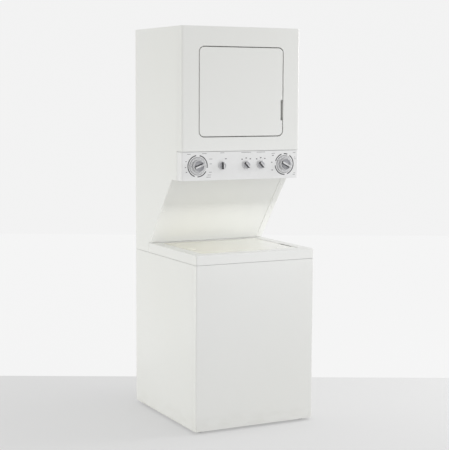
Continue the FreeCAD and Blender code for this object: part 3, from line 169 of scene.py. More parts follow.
def add_bar(bm, centre, radius_in, radius_out, width, turn, y0, y1):
    """Adds a straight radial mark on the console, at an angle in degrees anticlockwise from +X."""
    direction = Vector((math.cos(math.radians(turn)), 0, math.sin(math.radians(turn))))
    across = Vector((-direction.z, 0, direction.x)) * width / 2
    points = []
    for y in (y0, y1):
        base = Vector((centre[0], y, centre[2]))
        points.append([bm.verts.new(base + direction * r + across * s)
                       for r, s in ((radius_in, -1), (radius_out, -1), (radius_out, 1), (radius_in, 1))])
    near, far = points
    bm.faces.new(near)
    bm.faces.new(far)
    for k in range(4):
        bm.faces.new((near[k], near[(k + 1) % 4], far[(k + 1) % 4], far[k]))


# ---------------------------------------------------------------- materials
class Finish:
    """A Principled material whose colour, roughness and bump come from procedural textures."""

    def __init__(self, name, roughness, metallic=0.0, coat=0.0, specular=0.5):
        self.material = bpy.data.materials.new(name)
        self.material.use_nodes = True
        self.tree = self.material.node_tree
        self.shader = self.tree.nodes["Principled BSDF"]
        self.shader.inputs["Roughness"].default_value = roughness
        self.shader.inputs["Metallic"].default_value = metallic
        self.shader.inputs["Coat Weight"].default_value = coat
        self.shader.inputs["Coat Roughness"].default_value = 0.12
        self.shader.inputs["Specular IOR Level"].default_value = specular
        self.place = self.node("ShaderNodeTexCoord").outputs["Object"]

    def node(self, kind, **inputs):
        """Adds a node and sets its inputs by name."""
        made = self.tree.nodes.new(kind)
        for key, value in inputs.items():
            made.inputs[key].default_value = value
        return made

    def link(self, output, socket):
        """Joins an output to a socket."""
        self.tree.links.new(output, socket)

    def noise(self, scale, detail=3.0, stretch=None):
        """A noise value between 0 and 1, with its scale in features per metre."""
        place = self.place
        if stretch:
            mapping = self.node("ShaderNodeMapping")
            mapping.inputs["Scale"].default_value = stretch
            self.link(self.place, mapping.inputs["Vector"])
            place = mapping.outputs["Vector"]
        texture = self.node("ShaderNodeTexNoise", Scale=scale, Detail=detail)
        self.link(place, texture.inputs["Vector"])
        return texture.outputs["Fac"]

    def cells(self, scale, output="Color"):
        """Voronoi cells, with their scale in cells per metre."""
        texture = self.node("ShaderNodeTexVoronoi", Scale=scale)
        self.link(self.place, texture.inputs["Vector"])
        return texture.outputs[output]

    def ramp(self, value, low, high, a, b):
        """Turns a value between low and high into a colour between a and b."""
        ramp = self.node("ShaderNodeValToRGB")
        first, last = ramp.color_ramp.elements
        first.position, last.position = low, high
        first.color = (*a, 1.0)
        last.color = (*b, 1.0)
        self.link(value, ramp.inputs["Fac"])
        return ramp.outputs["Color"]

    def spread(self, value, low, high, start=0.3, end=0.7):
        """Maps a value that goes from start to end on to the range from low to high."""
        mapped = self.node("ShaderNodeMapRange")
        for key, number in (("From Min", start), ("From Max", end), ("To Min", low), ("To Max", high)):
            mapped.inputs[key].default_value = number
        self.link(value, mapped.inputs["Value"])
        return mapped.outputs["Result"]

    def mix(self, factor, output, colour):
        """Mixes an output's colour with a fixed one, by a factor socket."""
        mixed = self.node("ShaderNodeMix")
        mixed.data_type = "RGBA"
        self.link(factor, mixed.inputs[0])
        self.link(output, mixed.inputs[6])
        mixed.inputs[7].default_value = (*colour, 1.0)
        return mixed.outputs[2]

    def height(self, axis, low, high):
        """A value that goes from 0 at low to 1 at high along an axis, in metres."""
        parts = self.node("ShaderNodeSeparateXYZ")
        self.link(self.place, parts.inputs["Vector"])
        return self.spread(parts.outputs[axis], 0.0, 1.0, low, high)

    def maths(self, operation, a, b):
        """Joins two values by an operation such as ADD."""
        made = self.node("ShaderNodeMath")
        made.operation = operation
        self.link(a, made.inputs[0])
        self.link(b, made.inputs[1])
        return made.outputs[0]

    def colour(self, output):
        """Sets the base colour."""
        self.link(output, self.shader.inputs["Base Color"])

    def rough(self, output):
        """Sets the roughness."""
        self.link(output, self.shader.inputs["Roughness"])

    def bump(self, output, depth, strength=1.0):
        """Adds a bump of a given depth in metres, on top of any earlier one."""
        bump = self.node("ShaderNodeBump", Strength=strength, Distance=depth)
        self.link(output, bump.inputs["Height"])
        earlier = self.shader.inputs["Normal"].links
        if earlier:
            self.link(earlier[0].from_socket, bump.inputs["Normal"])
        self.link(bump.outputs["Normal"], self.shader.inputs["Normal"])


ORANGE_PEEL = 420.0             # ripples per metre in baked enamel


def enamel(name, base=ENAMEL, aged=ENAMEL_AGED, roughness=0.34, grime=0.35):
    """White baked enamel: a faint orange peel, slow drifts of tone, and a little grime low down."""
    made = Finish(name, roughness, coat=0.2)
    tone = made.ramp(made.noise(1.3, 1.0), 0.25, 0.8, base, aged)
    low_down = made.height("Z", 0.09, 0.012)
    patchy = made.spread(made.noise(14.0, 4.0, (1.0, 1.0, 2.5)), 0.0, grime, 0.42, 0.75)
    made.colour(made.mix(made.maths("MULTIPLY", low_down, patchy), tone, GRIME))
    made.rough(made.spread(made.noise(6.0, 1.5), roughness - 0.03, roughness + 0.04, 0.2, 0.8))
    made.bump(made.noise(ORANGE_PEEL, 2.0), 0.04 * MM, 0.3)
    return made.material


def lid_enamel_painted_shade(name):
    """The lid's enamel, rubbed to a higher gloss, with painted shade and painted reflection that make it
    darker and warmer towards its left side.
    """
    made = Finish(name, 0.24, coat=0.35)
    # painted shade and painted reflection: a colour ramp across X from the darker, warmer left to the
    # lighter right
    across = made.height("X", -0.26, 0.20)
    wandering = made.spread(made.noise(2.0, 1.0), -0.1, 0.1, 0.2, 0.8)
    made.colour(made.ramp(made.maths("ADD", across, wandering), 0.1, 0.8, LID_LEFT_SHADE_AND_REFLECTION, LID_RIGHT_LIT))
    made.rough(made.spread(made.noise(5.0, 1.0), 0.24, 0.29, 0.2, 0.8))
    made.bump(made.noise(ORANGE_PEEL, 2.0), 0.04 * MM, 0.3)
    return made.material


def plastic(name, base, shade, roughness=0.4, grain=1500.0, depth=0.03 * MM, coat=0.0):
    """Moulded plastic: a fine grain of a given depth, and a faint mottling in tone and gloss."""
    made = Finish(name, roughness, coat=coat)
    made.colour(made.ramp(made.noise(35.0, 3.0), 0.3, 0.7, base, shade))
    made.rough(made.spread(made.noise(60.0, 3.0), roughness - 0.06, roughness + 0.08))
    made.bump(made.noise(grain, 2.0), depth, 0.5)
    return made.material


def galvanized(name, base=(0.55, 0.56, 0.57), shade=(0.40, 0.41, 0.43), roughness=0.42):
    """Zinc-coated sheet: crystal spangle a few millimetres across, and streaks of dullness."""
    made = Finish(name, roughness, metallic=0.85)
    spangle = made.ramp(made.cells(160.0), 0.2, 0.8, base, shade)
    cloudy = made.noise(7.0, 4.0, (1.0, 1.0, 0.4))
    made.colour(made.mix(made.spread(cloudy, 0.0, 0.5), spangle, (0.33, 0.33, 0.32)))
    made.rough(made.spread(made.noise(22.0, 4.0), roughness - 0.08, roughness + 0.16))
    made.bump(made.cells(160.0, "Distance"), 0.03 * MM, 0.3)
    return made.material


def turned_steel(name, base=(0.58, 0.58, 0.59), roughness=0.28):
    """Machined or drawn steel with fine lines and dull spots."""
    made = Finish(name, roughness, metallic=1.0)
    made.colour(made.ramp(made.noise(90.0, 4.0, (1.0, 6.0, 6.0)), 0.3, 0.75, base, (0.36, 0.35, 0.34)))
    made.rough(made.spread(made.noise(200.0, 3.0, (1.0, 8.0, 8.0)), roughness - 0.06, roughness + 0.18))
    made.bump(made.noise(900.0, 2.0, (1.0, 6.0, 6.0)), 0.02 * MM, 0.4)
    return made.material


def dull_paint(name, base, shade, roughness=0.5, metallic=0.0):
    """A dull painted or cast surface, with dust in patches."""
    made = Finish(name, roughness, metallic=metallic)
    made.colour(made.ramp(made.noise(30.0, 5.0), 0.35, 0.8, base, shade))
    made.rough(made.spread(made.noise(45.0, 3.0), roughness - 0.08, roughness + 0.2))
    made.bump(made.noise(500.0, 3.0), 0.08 * MM, 0.5)
    return made.material


def rubber(name, base=(0.028, 0.028, 0.028), roughness=0.7):
    """Matt rubber with dust and a fine texture."""
    made = Finish(name, roughness, specular=0.3)
    made.colour(made.ramp(made.noise(40.0, 5.0), 0.4, 0.85, base, (0.11, 0.105, 0.10)))
    made.rough(made.spread(made.noise(70.0, 3.0), roughness - 0.1, roughness + 0.15))
    made.bump(made.noise(1200.0, 2.0), 0.05 * MM, 0.6)
    return made.material


def felt(name):
    """Pressed felt with loose fibres."""
    made = Finish(name, 0.95, specular=0.1)
    made.shader.inputs["Sheen Weight"].default_value = 0.4
    made.colour(made.ramp(made.noise(260.0, 6.0), 0.3, 0.7, (0.46, 0.44, 0.40), (0.62, 0.60, 0.55)))
    made.bump(made.noise(1400.0, 5.0), 0.3 * MM, 0.8)
    return made.material


def porcelain(name):
    """Glossy porcelain with fine grey specks."""
    made = Finish(name, 0.16, coat=0.6)
    specks = made.ramp(made.cells(900.0, "Distance"), 0.03, 0.12, (0.30, 0.32, 0.36), (0.80, 0.81, 0.80))
    made.colour(made.mix(made.spread(made.noise(4.0, 2.0), 0.0, 0.25), specks, (0.72, 0.72, 0.70)))
    made.rough(made.spread(made.noise(25.0, 3.0), 0.12, 0.26))
    made.bump(made.noise(300.0, 2.0), 0.03 * MM, 0.3)
    return made.material


def ink(name, tone):
    """Printed ink, slightly worn."""
    made = Finish(name, 0.5)
    worn = tuple(part + 0.4 * (WORN_INK - part) for part in tone)
    made.colour(made.ramp(made.noise(700.0, 4.0), 0.62, 0.85, tone, worn))
    made.bump(made.noise(2500.0, 2.0), 0.01 * MM, 0.3)
    return made.material


MOULDED = {"grain": 1800.0, "depth": 0.02 * MM}    # the smooth skin of the controls

MATERIALS = {
    "enamel": enamel("white_enamel"),
    "enamel_lid": lid_enamel_painted_shade("lid_enamel_painted_shade"),
    "console": plastic("console_plastic", CONSOLE, (0.78, 0.78, 0.775), 0.36, 1100.0, 0.04 * MM),
    "knob": plastic("knob_plastic", KNOB, (0.64, 0.64, 0.65), 0.33, coat=0.2, **MOULDED),
    "knob_face_shaded": plastic("knob_face_shaded_plastic", KNOB_FACE_SHADED, (0.38, 0.38, 0.40), 0.33, coat=0.2, **MOULDED),
    "grip_dark_and_shade": plastic("grip_dark_and_shade_plastic", GRIP_DARK_AND_SHADE, (0.045, 0.045, 0.047), 0.38, **MOULDED),
    "dial": plastic("dial_plastic", DIAL, (0.68, 0.68, 0.685), 0.36, coat=0.1, **MOULDED),
    "liner": plastic("white_liner", (0.80, 0.80, 0.785), (0.77, 0.77, 0.745), 0.22, 700.0, coat=0.3),
    "galvanized": galvanized("galvanized_sheet"),
    "drum": enamel("drum_enamel", (0.76, 0.76, 0.74), (0.71, 0.70, 0.66), grime=0.0),
    "porcelain": porcelain("basket_porcelain"),
    "tub": plastic("tub_plastic", (0.70, 0.70, 0.66), (0.64, 0.64, 0.60), 0.45, 600.0, 0.06 * MM),
    "agitator": plastic("agitator_plastic", (0.77, 0.775, 0.76), (0.73, 0.73, 0.715), 0.30, 900.0,
                        coat=0.2),
    "grey": plastic("grey_plastic", (0.20, 0.205, 0.21), (0.16, 0.165, 0.17), 0.42),
    "motor": dull_paint("motor_paint", (0.030, 0.030, 0.033), (0.10, 0.098, 0.092)),
    "steel": turned_steel("turned_steel"),
    "cast": dull_paint("cast_aluminium", (0.42, 0.43, 0.44), (0.30, 0.30, 0.30), 0.48, metallic=0.7),
    "rubber": rubber("black_rubber"),
    "felt": felt("door_felt"),
    "ink": ink("printed_ink_and_rim_shade", INK),
    "ink_pale": ink("pale_ink", INK_PALE),
}

NODE_FINISHES = {
    "enamel": ["washer_front_panel", "washer_cabinet", "cabinet_side_left", "cabinet_side_right",
               "slant_panel", "top_panel", "dryer_front_panel", "door_outer_panel", "washer_top_deck"],
    "enamel_lid": ["washer_lid"],
    "console": ["console_panel"],
    "liner": ["door_inner_liner", "tub_cover"],
    "galvanized": ["base_frame", "upper_back_panel", "front_bulkhead", "rear_bulkhead", "heater_box",
                   "dryer_base_shelf", "idler_arm", "blower_housing", "suspension_rods"],
    "drum": ["drum_shell", "drum_baffles"],
    "tub": ["outer_tub", "balance_ring"],
    "agitator": ["agitator", "agitator_auger"],
    "grey": ["lint_chute", "lint_screen", "blower_wheel", "drain_pump", "console_switches",
             "safety_switches", "door_switch_plunger", "lid_switch_plunger", "idler_pulley",
             "water_connections"],
    "motor": ["dryer_motor", "washer_motor"],
    "steel": ["dryer_motor_shaft", "suspension_springs", "leveling_feet", "pivot_pins"],
    "cast": ["gearcase"],
    "rubber": ["drum_belt", "motor_coupling", "drum_roller_left", "drum_roller_right", "cord_inlet_bush"],
    "felt": ["door_seal"],
}


def dress_nodes():
    """Gives each CAD node listed in the finish table its material."""
    for finish, nodes in NODE_FINISHES.items():
        for node in nodes:
            for slot in frame["nodes"][node].material_slots:
                slot.material = MATERIALS[finish]


# ---------------------------------------------------------------- console
CONSOLE_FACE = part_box("console_panel")[0][1]
PRINT_DEPTH = 0.12 * MM
PRINT_FACE = CONSOLE_FACE - PRINT_DEPTH
THICK_RING = (45.8 * MM, 50.6 * MM)     # inner and outer radius
# the thin ring is painted shade: a dark ring on the console just outside the dial's rim
RIM_SHADE_RING = (39.6 * MM, 41.0 * MM)
RING_ARCS = {                   # the thick ring's arcs, in degrees anticlockwise from +X
    "washer_dial_turn": ((99, 252), (270, 330), (350, 438)),
    "dryer_dial_turn": ((70, 93), (108, 162), (187, 273), (290, 415)),
}
PALE_DASHES = {                 # a corner's place from a control's centre, then length and height, in mm
    "washer_dial_turn": ((-52, 53, 17, 2), (22, 55, 24, 2), (58, 30, 16, 2), (60, 8, 12, 2),
                         (57, -30, 14, 2), (50, -42, 18, 2), (44, -52, 22, 2)),
    "level_turn": ((-9, 57, 20, 2),),
    "wash_heat_turn": ((-25, 57, 50, 2),),
    "dry_heat_turn": ((-22, 57, 44, 2),),
    "dryer_dial_turn": ((-68, 50, 18, 2), (46, 52, 14, 2), (52, 30, 8, 2), (54, 22, 8, 2),
                        (50, -44, 10, 2), (46, -52, 12, 2)),
}
HEAT_MARKS = ((-25, 25, 7, 4), (-4, 30, 8, 4), (18, 26, 7, 4))
DARK_DASHES = {
    "washer_dial_turn": ((-61, 20, 6, 3), (-63, -6, 6, 3), (-59, -28, 7, 3)),
    "level_turn": ((14, 29, 10, 3),),
    "wash_heat_turn": HEAT_MARKS,
    "dry_heat_turn": HEAT_MARKS,
    "dryer_dial_turn": ((-66, 40, 10, 3), (-68, -28, 8, 3), (-70, 8, 7, 3)),
}
SHAFT = ((0, -22.0), (3.0, -22.0), (3.0, 1.2), (0, 1.2))    # a control's shaft, in radius and height
DIAL_PROFILE = ((0, 1.2), (38.4, 1.2), (38.6, 1.6), (38.6, 4.1), (38.2, 4.9), (37.4, 5.3), (36.6, 4.9),
                (36.2, 4.2), (3.6, 4.2), (3.6, 16.2), (3.2, 16.7), (0, 16.7))
KNOB_PROFILE = ((0, 8.0), (26, 8.0), (26.9, 9.0), (26.9, 15.8), (26.4, 17.2), (25.4, 18.0), (24.4, 17.8),
                (22.4, 15.6), (18, 13.8), (12, 13.0), (0, 12.8))
KNOB_FACE = ((0, 13.2), (12, 13.4), (18, 14.2), (22.4, 16.0), (24.2, 18.1), (23.7, 18.2), (21.9, 16.4),
             (17.8, 14.7), (12, 13.9), (0, 13.7))
SKIRT_PROFILE = ((0, 1.2), (19.6, 1.2), (19.7, 3.4), (19.2, 4.4), (18.2, 5.2), (16.2, 6.2), (0, 6.2))
SKIRT_FACE = ((0, 6.0), (15.2, 6.0), (15.8, 6.6), (15.8, 8.8), (15.0, 9.7), (0, 9.9))


def joint_centre(joint):
    """The point on the console that a control turns about."""
    x, _, z = JOINTS[joint]["pos_m"]
    return (x, CONSOLE_FACE, z)


def print_timer_rings():
    """A broken thick ring printed round each timer, and inside it a thin dark ring that is painted shade
    on the console round the dial's rim.
    """
    for joint, arcs in RING_ARCS.items():
        centre = joint_centre(joint)
        bm = bmesh.new()
        for start, end in arcs:
            add_arc(bm, centre, *THICK_RING, start, end, PRINT_FACE, CONSOLE_FACE)
        # painted shade: the thin dark ring round the dial's rim
        add_arc(bm, centre, *RIM_SHADE_RING, 0, 359.9, PRINT_FACE, CONSOLE_FACE)
        new_object("ring_print_and_rim_shade_" + joint.split("_")[0], bm, MATERIALS["ink"], "cabinet",
                   smooth=False)


def print_dashes():
    """Plain dashes where labels would be."""
    for name, dashes_of, finish in (("label_print", PALE_DASHES, "ink_pale"),
                                    ("mark_print", DARK_DASHES, "ink")):
        bm = bmesh.new()
        for joint, dashes in dashes_of.items():
            centre = joint_centre(joint)
            for x, z, length, height in dashes:
                low = (centre[0] + x * MM, PRINT_FACE, centre[2] + z * MM)
                high = (low[0] + length * MM, CONSOLE_FACE, low[2] + height * MM)
                add_box(bm, low, high)
        new_object(name, bm, MATERIALS[finish], "cabinet", smooth=False)


def timer_dial(joint, body, node):
    """A flat dial with a ribbed rim, printed ticks and a hub."""
    centre = joint_centre(joint)

    def ribs(turn, radius, height):
        on_rim = radius > 38 * MM and height > 1.3 * MM
        return 0.35 * MM * math.cos(60 * turn) if on_rim else 0.0

    bm = bmesh.new()
    add_lathe(bm, in_metres(DIAL_PROFILE), centre, "-Y", 360, ribs)
    add_lathe(bm, in_metres(SHAFT), centre, "-Y", 32)
    dial = new_object(node + "_fine", bm, MATERIALS["dial"], body)
    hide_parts(node)

    face = CONSOLE_FACE - 4.2 * MM
    print_face = face - PRINT_DEPTH
    bm = bmesh.new()
    for i in range(48):
        inner, width = (31.5 * MM, 0.9 * MM) if i % 4 == 0 else (33.2 * MM, 0.5 * MM)
        add_bar(bm, centre, inner, 35.4 * MM, width, 7.5 * i, print_face, face)
    add_arc(bm, centre, 29.2 * MM, 30.0 * MM, 20, 340, print_face, face)
    new_object(node + "_marks", bm, MATERIALS["ink"], body, smooth=False)


def grip(centre, length, width, foot, top, taper=0.0, flare=1.0):
    """A rounded grip bar along X, between two heights above the console.

    Its flanks flare towards the console, and its -X end is narrower if it tapers.
    """
    bm = bmesh.new()
    part = bmesh.ops.create_cube(bm, size=1.0)
    for vert in part["verts"]:
        side = 1 if vert.co.x > 0 else -1
        outer = vert.co.y < 0
        along = side * length / 2 * (1.0 if outer else 1.05)
        across = width / 2 * (1.0 - taper * (0.5 - 0.5 * side)) * (1.0 if outer else flare)
        vert.co = Vector((centre[0] + along,
                          centre[1] - (top if outer else foot),
                          centre[2] + (across if vert.co.z > 0 else -across)))
    edges = list({edge for vert in part["verts"] for edge in vert.link_edges})
    bmesh.ops.bevel(bm, geom=edges, offset=0.09 * width, segments=3, profile=0.6, affect="EDGES",
                    clamp_overlap=True)
    return bm


def turn_about(obj, centre, degrees):
    """Turns a piece's mesh clockwise, seen from the front, about an axis through a point."""
    pivot = Matrix.Translation(Vector(centre))
    obj.data.transform(pivot @ Matrix.Rotation(math.radians(degrees), 4, "Y") @ pivot.inverted())


def grip_pieces(node, body, centre, length, width, foot, top, taper, flare, turn):
    """A dark grip with a pale strip along its crest and a pointer line in the strip. The grip's dark
    plastic also paints the shade on its flanks, and the pale strip paints the light on its crest.
    """
    crest = 2.0 * MM
    bar = grip(centre, length, width, foot, top - crest, taper, flare)
    strip = grip(centre, 0.97 * length, 0.9 * width, top - crest - 0.4 * MM, top, taper)
    line = bmesh.new()
    add_box(line, (centre[0] + 0.10 * length, centre[1] - top - 0.15 * MM, centre[2] - 0.6 * MM),
            (centre[0] + 0.42 * length, centre[1] - top + 0.25 * MM, centre[2] + 0.6 * MM), 0.12 * MM)
    # painted shade on the grip's dark flanks and painted light on its pale crest strip
    for name, bm, finish in (("_grip", bar, "grip_dark_and_shade"), ("_strip", strip, "knob"),
                             ("_pointer", line, "ink")):
        piece = new_object(node + name, bm, MATERIALS[finish], body, angle=40)
        turn_about(piece, centre, turn)


def timer_knob(joint, body, node, tilt):
    """A round knob with a fluted edge, a dished face and a grip bar."""
    centre = joint_centre(joint)

    def flutes(turn, radius, height):
        on_edge = radius > 26 * MM and 9 * MM < height < 16 * MM
        return -0.5 * MM * max(0.0, math.cos(24 * turn)) ** 4 if on_edge else 0.0

    bm = bmesh.new()
    add_lathe(bm, in_metres(KNOB_PROFILE), centre, "-Y", 288, flutes)
    knob = new_object(node + "_fine", bm, MATERIALS["knob"], body, angle=40)
    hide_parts(node)
    bm = bmesh.new()
    # the dished face: darker grey, partly painted shade and painted reflection in the dish
    add_lathe(bm, in_metres(KNOB_FACE), centre, "-Y", 96)
    new_object(node + "_face", bm, MATERIALS["knob_face_shaded"], body)
    grip_pieces(node, body, centre, 45.0 * MM, 8.6 * MM, 13.6 * MM, 26.6 * MM, 0.0, 1.5, tilt)


def selector_knob(joint, body, node, tilt):
    """A small skirted knob with a tapered grip that points at its mark."""
    centre = joint_centre(joint)

    def ribs(turn, radius, height):
        on_rim = radius > 19 * MM and height > 1.4 * MM
        return 0.25 * MM * math.cos(36 * turn) if on_rim else 0.0

    bm = bmesh.new()
    add_lathe(bm, in_metres(SKIRT_PROFILE), centre, "-Y", 216, ribs)
    add_lathe(bm, in_metres(SHAFT), centre, "-Y", 32)
    knob = new_object(node + "_fine", bm, MATERIALS["knob"], body, angle=40)
    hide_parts(node)
    bm = bmesh.new()
    # the face: darker grey, partly painted shade
    add_lathe(bm, in_metres(SKIRT_FACE), centre, "-Y", 96)
    new_object(node + "_face", bm, MATERIALS["knob_face_shaded"], body)
    grip_pieces(node, body, centre, 31.0 * MM, 6.4 * MM, 9.6 * MM, 23.8 * MM, 0.3, 1.7, tilt - 90)


# ---------------------------------------------------------------- washer details
BASKET_FOOT = 0.312
BASKET_TOP = 0.708
HOLE_COLUMNS = 48
HOLE_ROWS = 12
HOLE_RADIUS = 3.4 * MM
HOLE_STEP = 2 * math.pi / HOLE_COLUMNS
HUB_PROFILE = ((11, 250), (20, 250), (20, 312), (34, 314), (36, 318), (34, 324), (11, 324))
RECESS_FLOOR = 0.791            # the top deck's recess that the lid lies in
# top of the dark strip that paints the notch's shadow
NOTCH_SHADOW_TOP = 0.8095
BUMPER_PROFILE = ((0, 0), (6, 0), (6, 1.2), (4.6, 2.3), (0, 2.6))


def perforated_wall(bm, centre, radius):
    """Adds the basket's wall with its drain holes, and returns its lowest and highest rings."""
    low, high = BASKET_FOOT + 34 * MM, BASKET_TOP - 46 * MM
    cell = (high - low) / HOLE_ROWS

    def on_wall(turn, z):
        return Vector((centre[0] + radius * math.cos(turn), centre[1] + radius * math.sin(turn), z))

    corners = {}
    for row in range(HOLE_ROWS + 1):
        z = low + cell * row
        for column in range(HOLE_COLUMNS):
            corners[row, column] = bm.verts.new(on_wall(HOLE_STEP * column, z))
            corners[row, column, "side"] = bm.verts.new(on_wall(HOLE_STEP * (column + 0.5), z))
            if row < HOLE_ROWS:
                middle = low + cell * (row + 0.5)
                corners[row, column, "up"] = bm.verts.new(on_wall(HOLE_STEP * column, middle))
    for row in range(HOLE_ROWS):
        for column in range(HOLE_COLUMNS):
            right = (column + 1) % HOLE_COLUMNS
            rim = [corners[row, column], corners[row, column, "side"], corners[row, right],
                   corners[row, right, "up"], corners[row + 1, right], corners[row + 1, column, "side"],
                   corners[row + 1, column], corners[row, column, "up"]]
            hole = []
            for k in range(8):
                spoke = math.radians(225 + 45 * k)
                turn = HOLE_STEP * (column + 0.5) + HOLE_RADIUS * math.cos(spoke) / radius
                z = low + cell * (row + 0.5) + HOLE_RADIUS * math.sin(spoke)
                hole.append(bm.verts.new(on_wall(turn, z)))
            for k in range(8):
                j = (k + 1) % 8
                bm.faces.new((rim[k], rim[j], hole[j], hole[k]))

    def edge_ring(row):
        ring = []
        for column in range(HOLE_COLUMNS):
            ring += [corners[row, column], corners[row, column, "side"]]
        return ring

    return edge_ring(0), edge_ring(HOLE_ROWS)


def add_band(bm, centre, profile, first=(), last=()):
    """Joins rings of revolution, which may start or end on a ring that is already there."""
    count = 2 * HOLE_COLUMNS
    rings = [first] if first else []
    for radius, z in profile:
        ring = []
        for i in range(count):
            turn = HOLE_STEP * i / 2
            ring.append(bm.verts.new(Vector((centre[0] + radius * math.cos(turn),
                                             centre[1] + radius * math.sin(turn), z))))
        rings.append(ring)
    if last:
        rings.append(last)
    for a, b in zip(rings, rings[1:]):
        for i in range(count):
            j = (i + 1) % count
            bm.faces.new((a[i], a[j], b[j], b[i]))


def wash_basket():
    """The perforated porcelain basket: rows of drain holes, a stepped floor and a rolled rim."""
    low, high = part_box("wash_basket")
    centre = ((low[0] + high[0]) / 2, (low[1] + high[1]) / 2, 0.0)
    outer = (high[0] - low[0]) / 2 - 3 * MM
    bm = bmesh.new()
    lowest, highest = perforated_wall(bm, centre, outer)
    floor = [(35 * MM, 4 * MM), (80 * MM, 3 * MM), (110 * MM, 1.5 * MM), (150 * MM, 3 * MM),
             (outer - 26 * MM, 2 * MM), (outer - 9 * MM, 8 * MM), (outer - 2 * MM, 18 * MM),
             (outer, 28 * MM)]
    rim = [(outer, -40 * MM), (outer - 1 * MM, -8 * MM), (outer, 0), (outer + 1.5 * MM, 2.5 * MM),
           (outer - 4 * MM, 3 * MM), (outer - 6 * MM, 1.5 * MM)]
    add_band(bm, centre, [(radius, BASKET_FOOT + z) for radius, z in floor], last=lowest)
    add_band(bm, centre, [(radius, BASKET_TOP + z) for radius, z in rim], first=highest)
    basket = new_object("perforated_basket", bm, MATERIALS["porcelain"], "basket", angle=50)
    wall = basket.modifiers.new("wall", "SOLIDIFY")
    wall.thickness = 1.4 * MM
    wall.offset = -1.0
    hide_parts("wash_basket")
    hub = bmesh.new()
    add_lathe(hub, in_metres(HUB_PROFILE), centre, "Z", 64)
    new_object("basket_hub", hub, MATERIALS["steel"], "basket", angle=50)


def notch_shadow_strip():
    """A dark grey strip that lines the deck's recess behind the lid's finger notch: painted shadow in the
    notch.
    """
    low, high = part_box("washer_lid")
    front, back = low[1] + 52 * MM, low[1] + 164 * MM
    foot = RECESS_FLOOR + 0.1 * MM
    wall = high[0] + 4.9 * MM
    bm = bmesh.new()
    # painted shadow: dark grey wall and floor strips in the notch's recess
    add_box(bm, (wall - 1.3 * MM, front, foot), (wall, back, NOTCH_SHADOW_TOP), 0.4 * MM)
    add_box(bm, (high[0] - 7 * MM, front, foot), (wall - 1.5 * MM, back, foot + 1.0 * MM), 0.4 * MM)
    new_object("notch_shadow_strip", bm, MATERIALS["grey"], "cabinet")


def lid_bumpers():
    """Rubber buttons on the deck's recess that the lid rests on."""
    low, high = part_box("washer_lid")
    for i, x in enumerate((low[0] + 14 * MM, high[0] - 14 * MM)):
        for j, y in enumerate((low[1] + 16 * MM, high[1] - 60 * MM)):
            bm = bmesh.new()
            add_lathe(bm, in_metres(BUMPER_PROFILE), (x, y, RECESS_FLOOR), "Z", 32)
            new_object("lid_bumper_%d%d" % (i, j), bm, MATERIALS["rubber"], "cabinet")


# ---------------------------------------------------------------- fasteners
SLOPE_FOOT = (0, 0.1695, 0.8115)        # the sloping flanges' lower and upper ends, on the middle plane
SLOPE_TOP = (0, -0.0825, 1.129)
FLANGE_SHARES = (0.12, 0.5, 0.88)       # where the flanges' screws are, from foot to top
BACK_SCREW_HEIGHTS = (0.800, 1.050, 1.300, 1.550, 1.790)


def screw_head(bm, place, out, size=4.1 * MM):
    """Adds a hexagonal screw head on a washer, seated at a point and facing along a direction."""
    washer = [(0, 0), (size, 0), (size, 0.45 * MM), (size * 0.8, 0.7 * MM), (0, 0.7 * MM)]
    hexagon = [(0, 0.5 * MM), (size * 0.72, 0.5 * MM), (size * 0.72, 1.35 * MM), (size * 0.6, 1.6 * MM),
               (0, 1.6 * MM)]
    head = bmesh.new()
    add_lathe(head, washer, (0, 0, 0), "Z", 32)
    add_lathe(head, hexagon, (0, 0, 0), "Z", 6)
    turn = Matrix.Rotation(random.uniform(0, math.pi), 4, "Z")
    facing = Vector(out).to_track_quat("Z", "Y").to_matrix().to_4x4()
    head.transform(Matrix.Translation(Vector(place)) @ facing @ turn)
    mesh = bpy.data.meshes.new("head")
    head.to_mesh(mesh)
    head.free()
    bm.from_mesh(mesh)
    bpy.data.meshes.remove(mesh)


def panel_screws():
    """The painted screws in the slope's flanges, and the bare ones down both sides of the back."""
    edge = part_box("cabinet_side_right")[1][0]
    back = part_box("upper_back_panel")[1][1]
    foot, top = Vector(SLOPE_FOOT), Vector(SLOPE_TOP)
    out = Vector((0, foot.z - top.z, top.y - foot.y))
    painted, bare = bmesh.new(), bmesh.new()
    for side in (-1, 1):
        for share in FLANGE_SHARES:
            place = foot.lerp(top, share) + Vector((side * (edge - 15 * MM), 0, 0))
            screw_head(painted, place, out)
        for z in BACK_SCREW_HEIGHTS:
            screw_head(bare, (side * (edge - 14 * MM), back, z), (0, 1, 0))
    heads = new_object("screw_heads", bare, MATERIALS["steel"], "cabinet", angle=30)
    new_object("flange_screws", painted, MATERIALS["enamel"], "cabinet", angle=30)
    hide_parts("panel_screws")


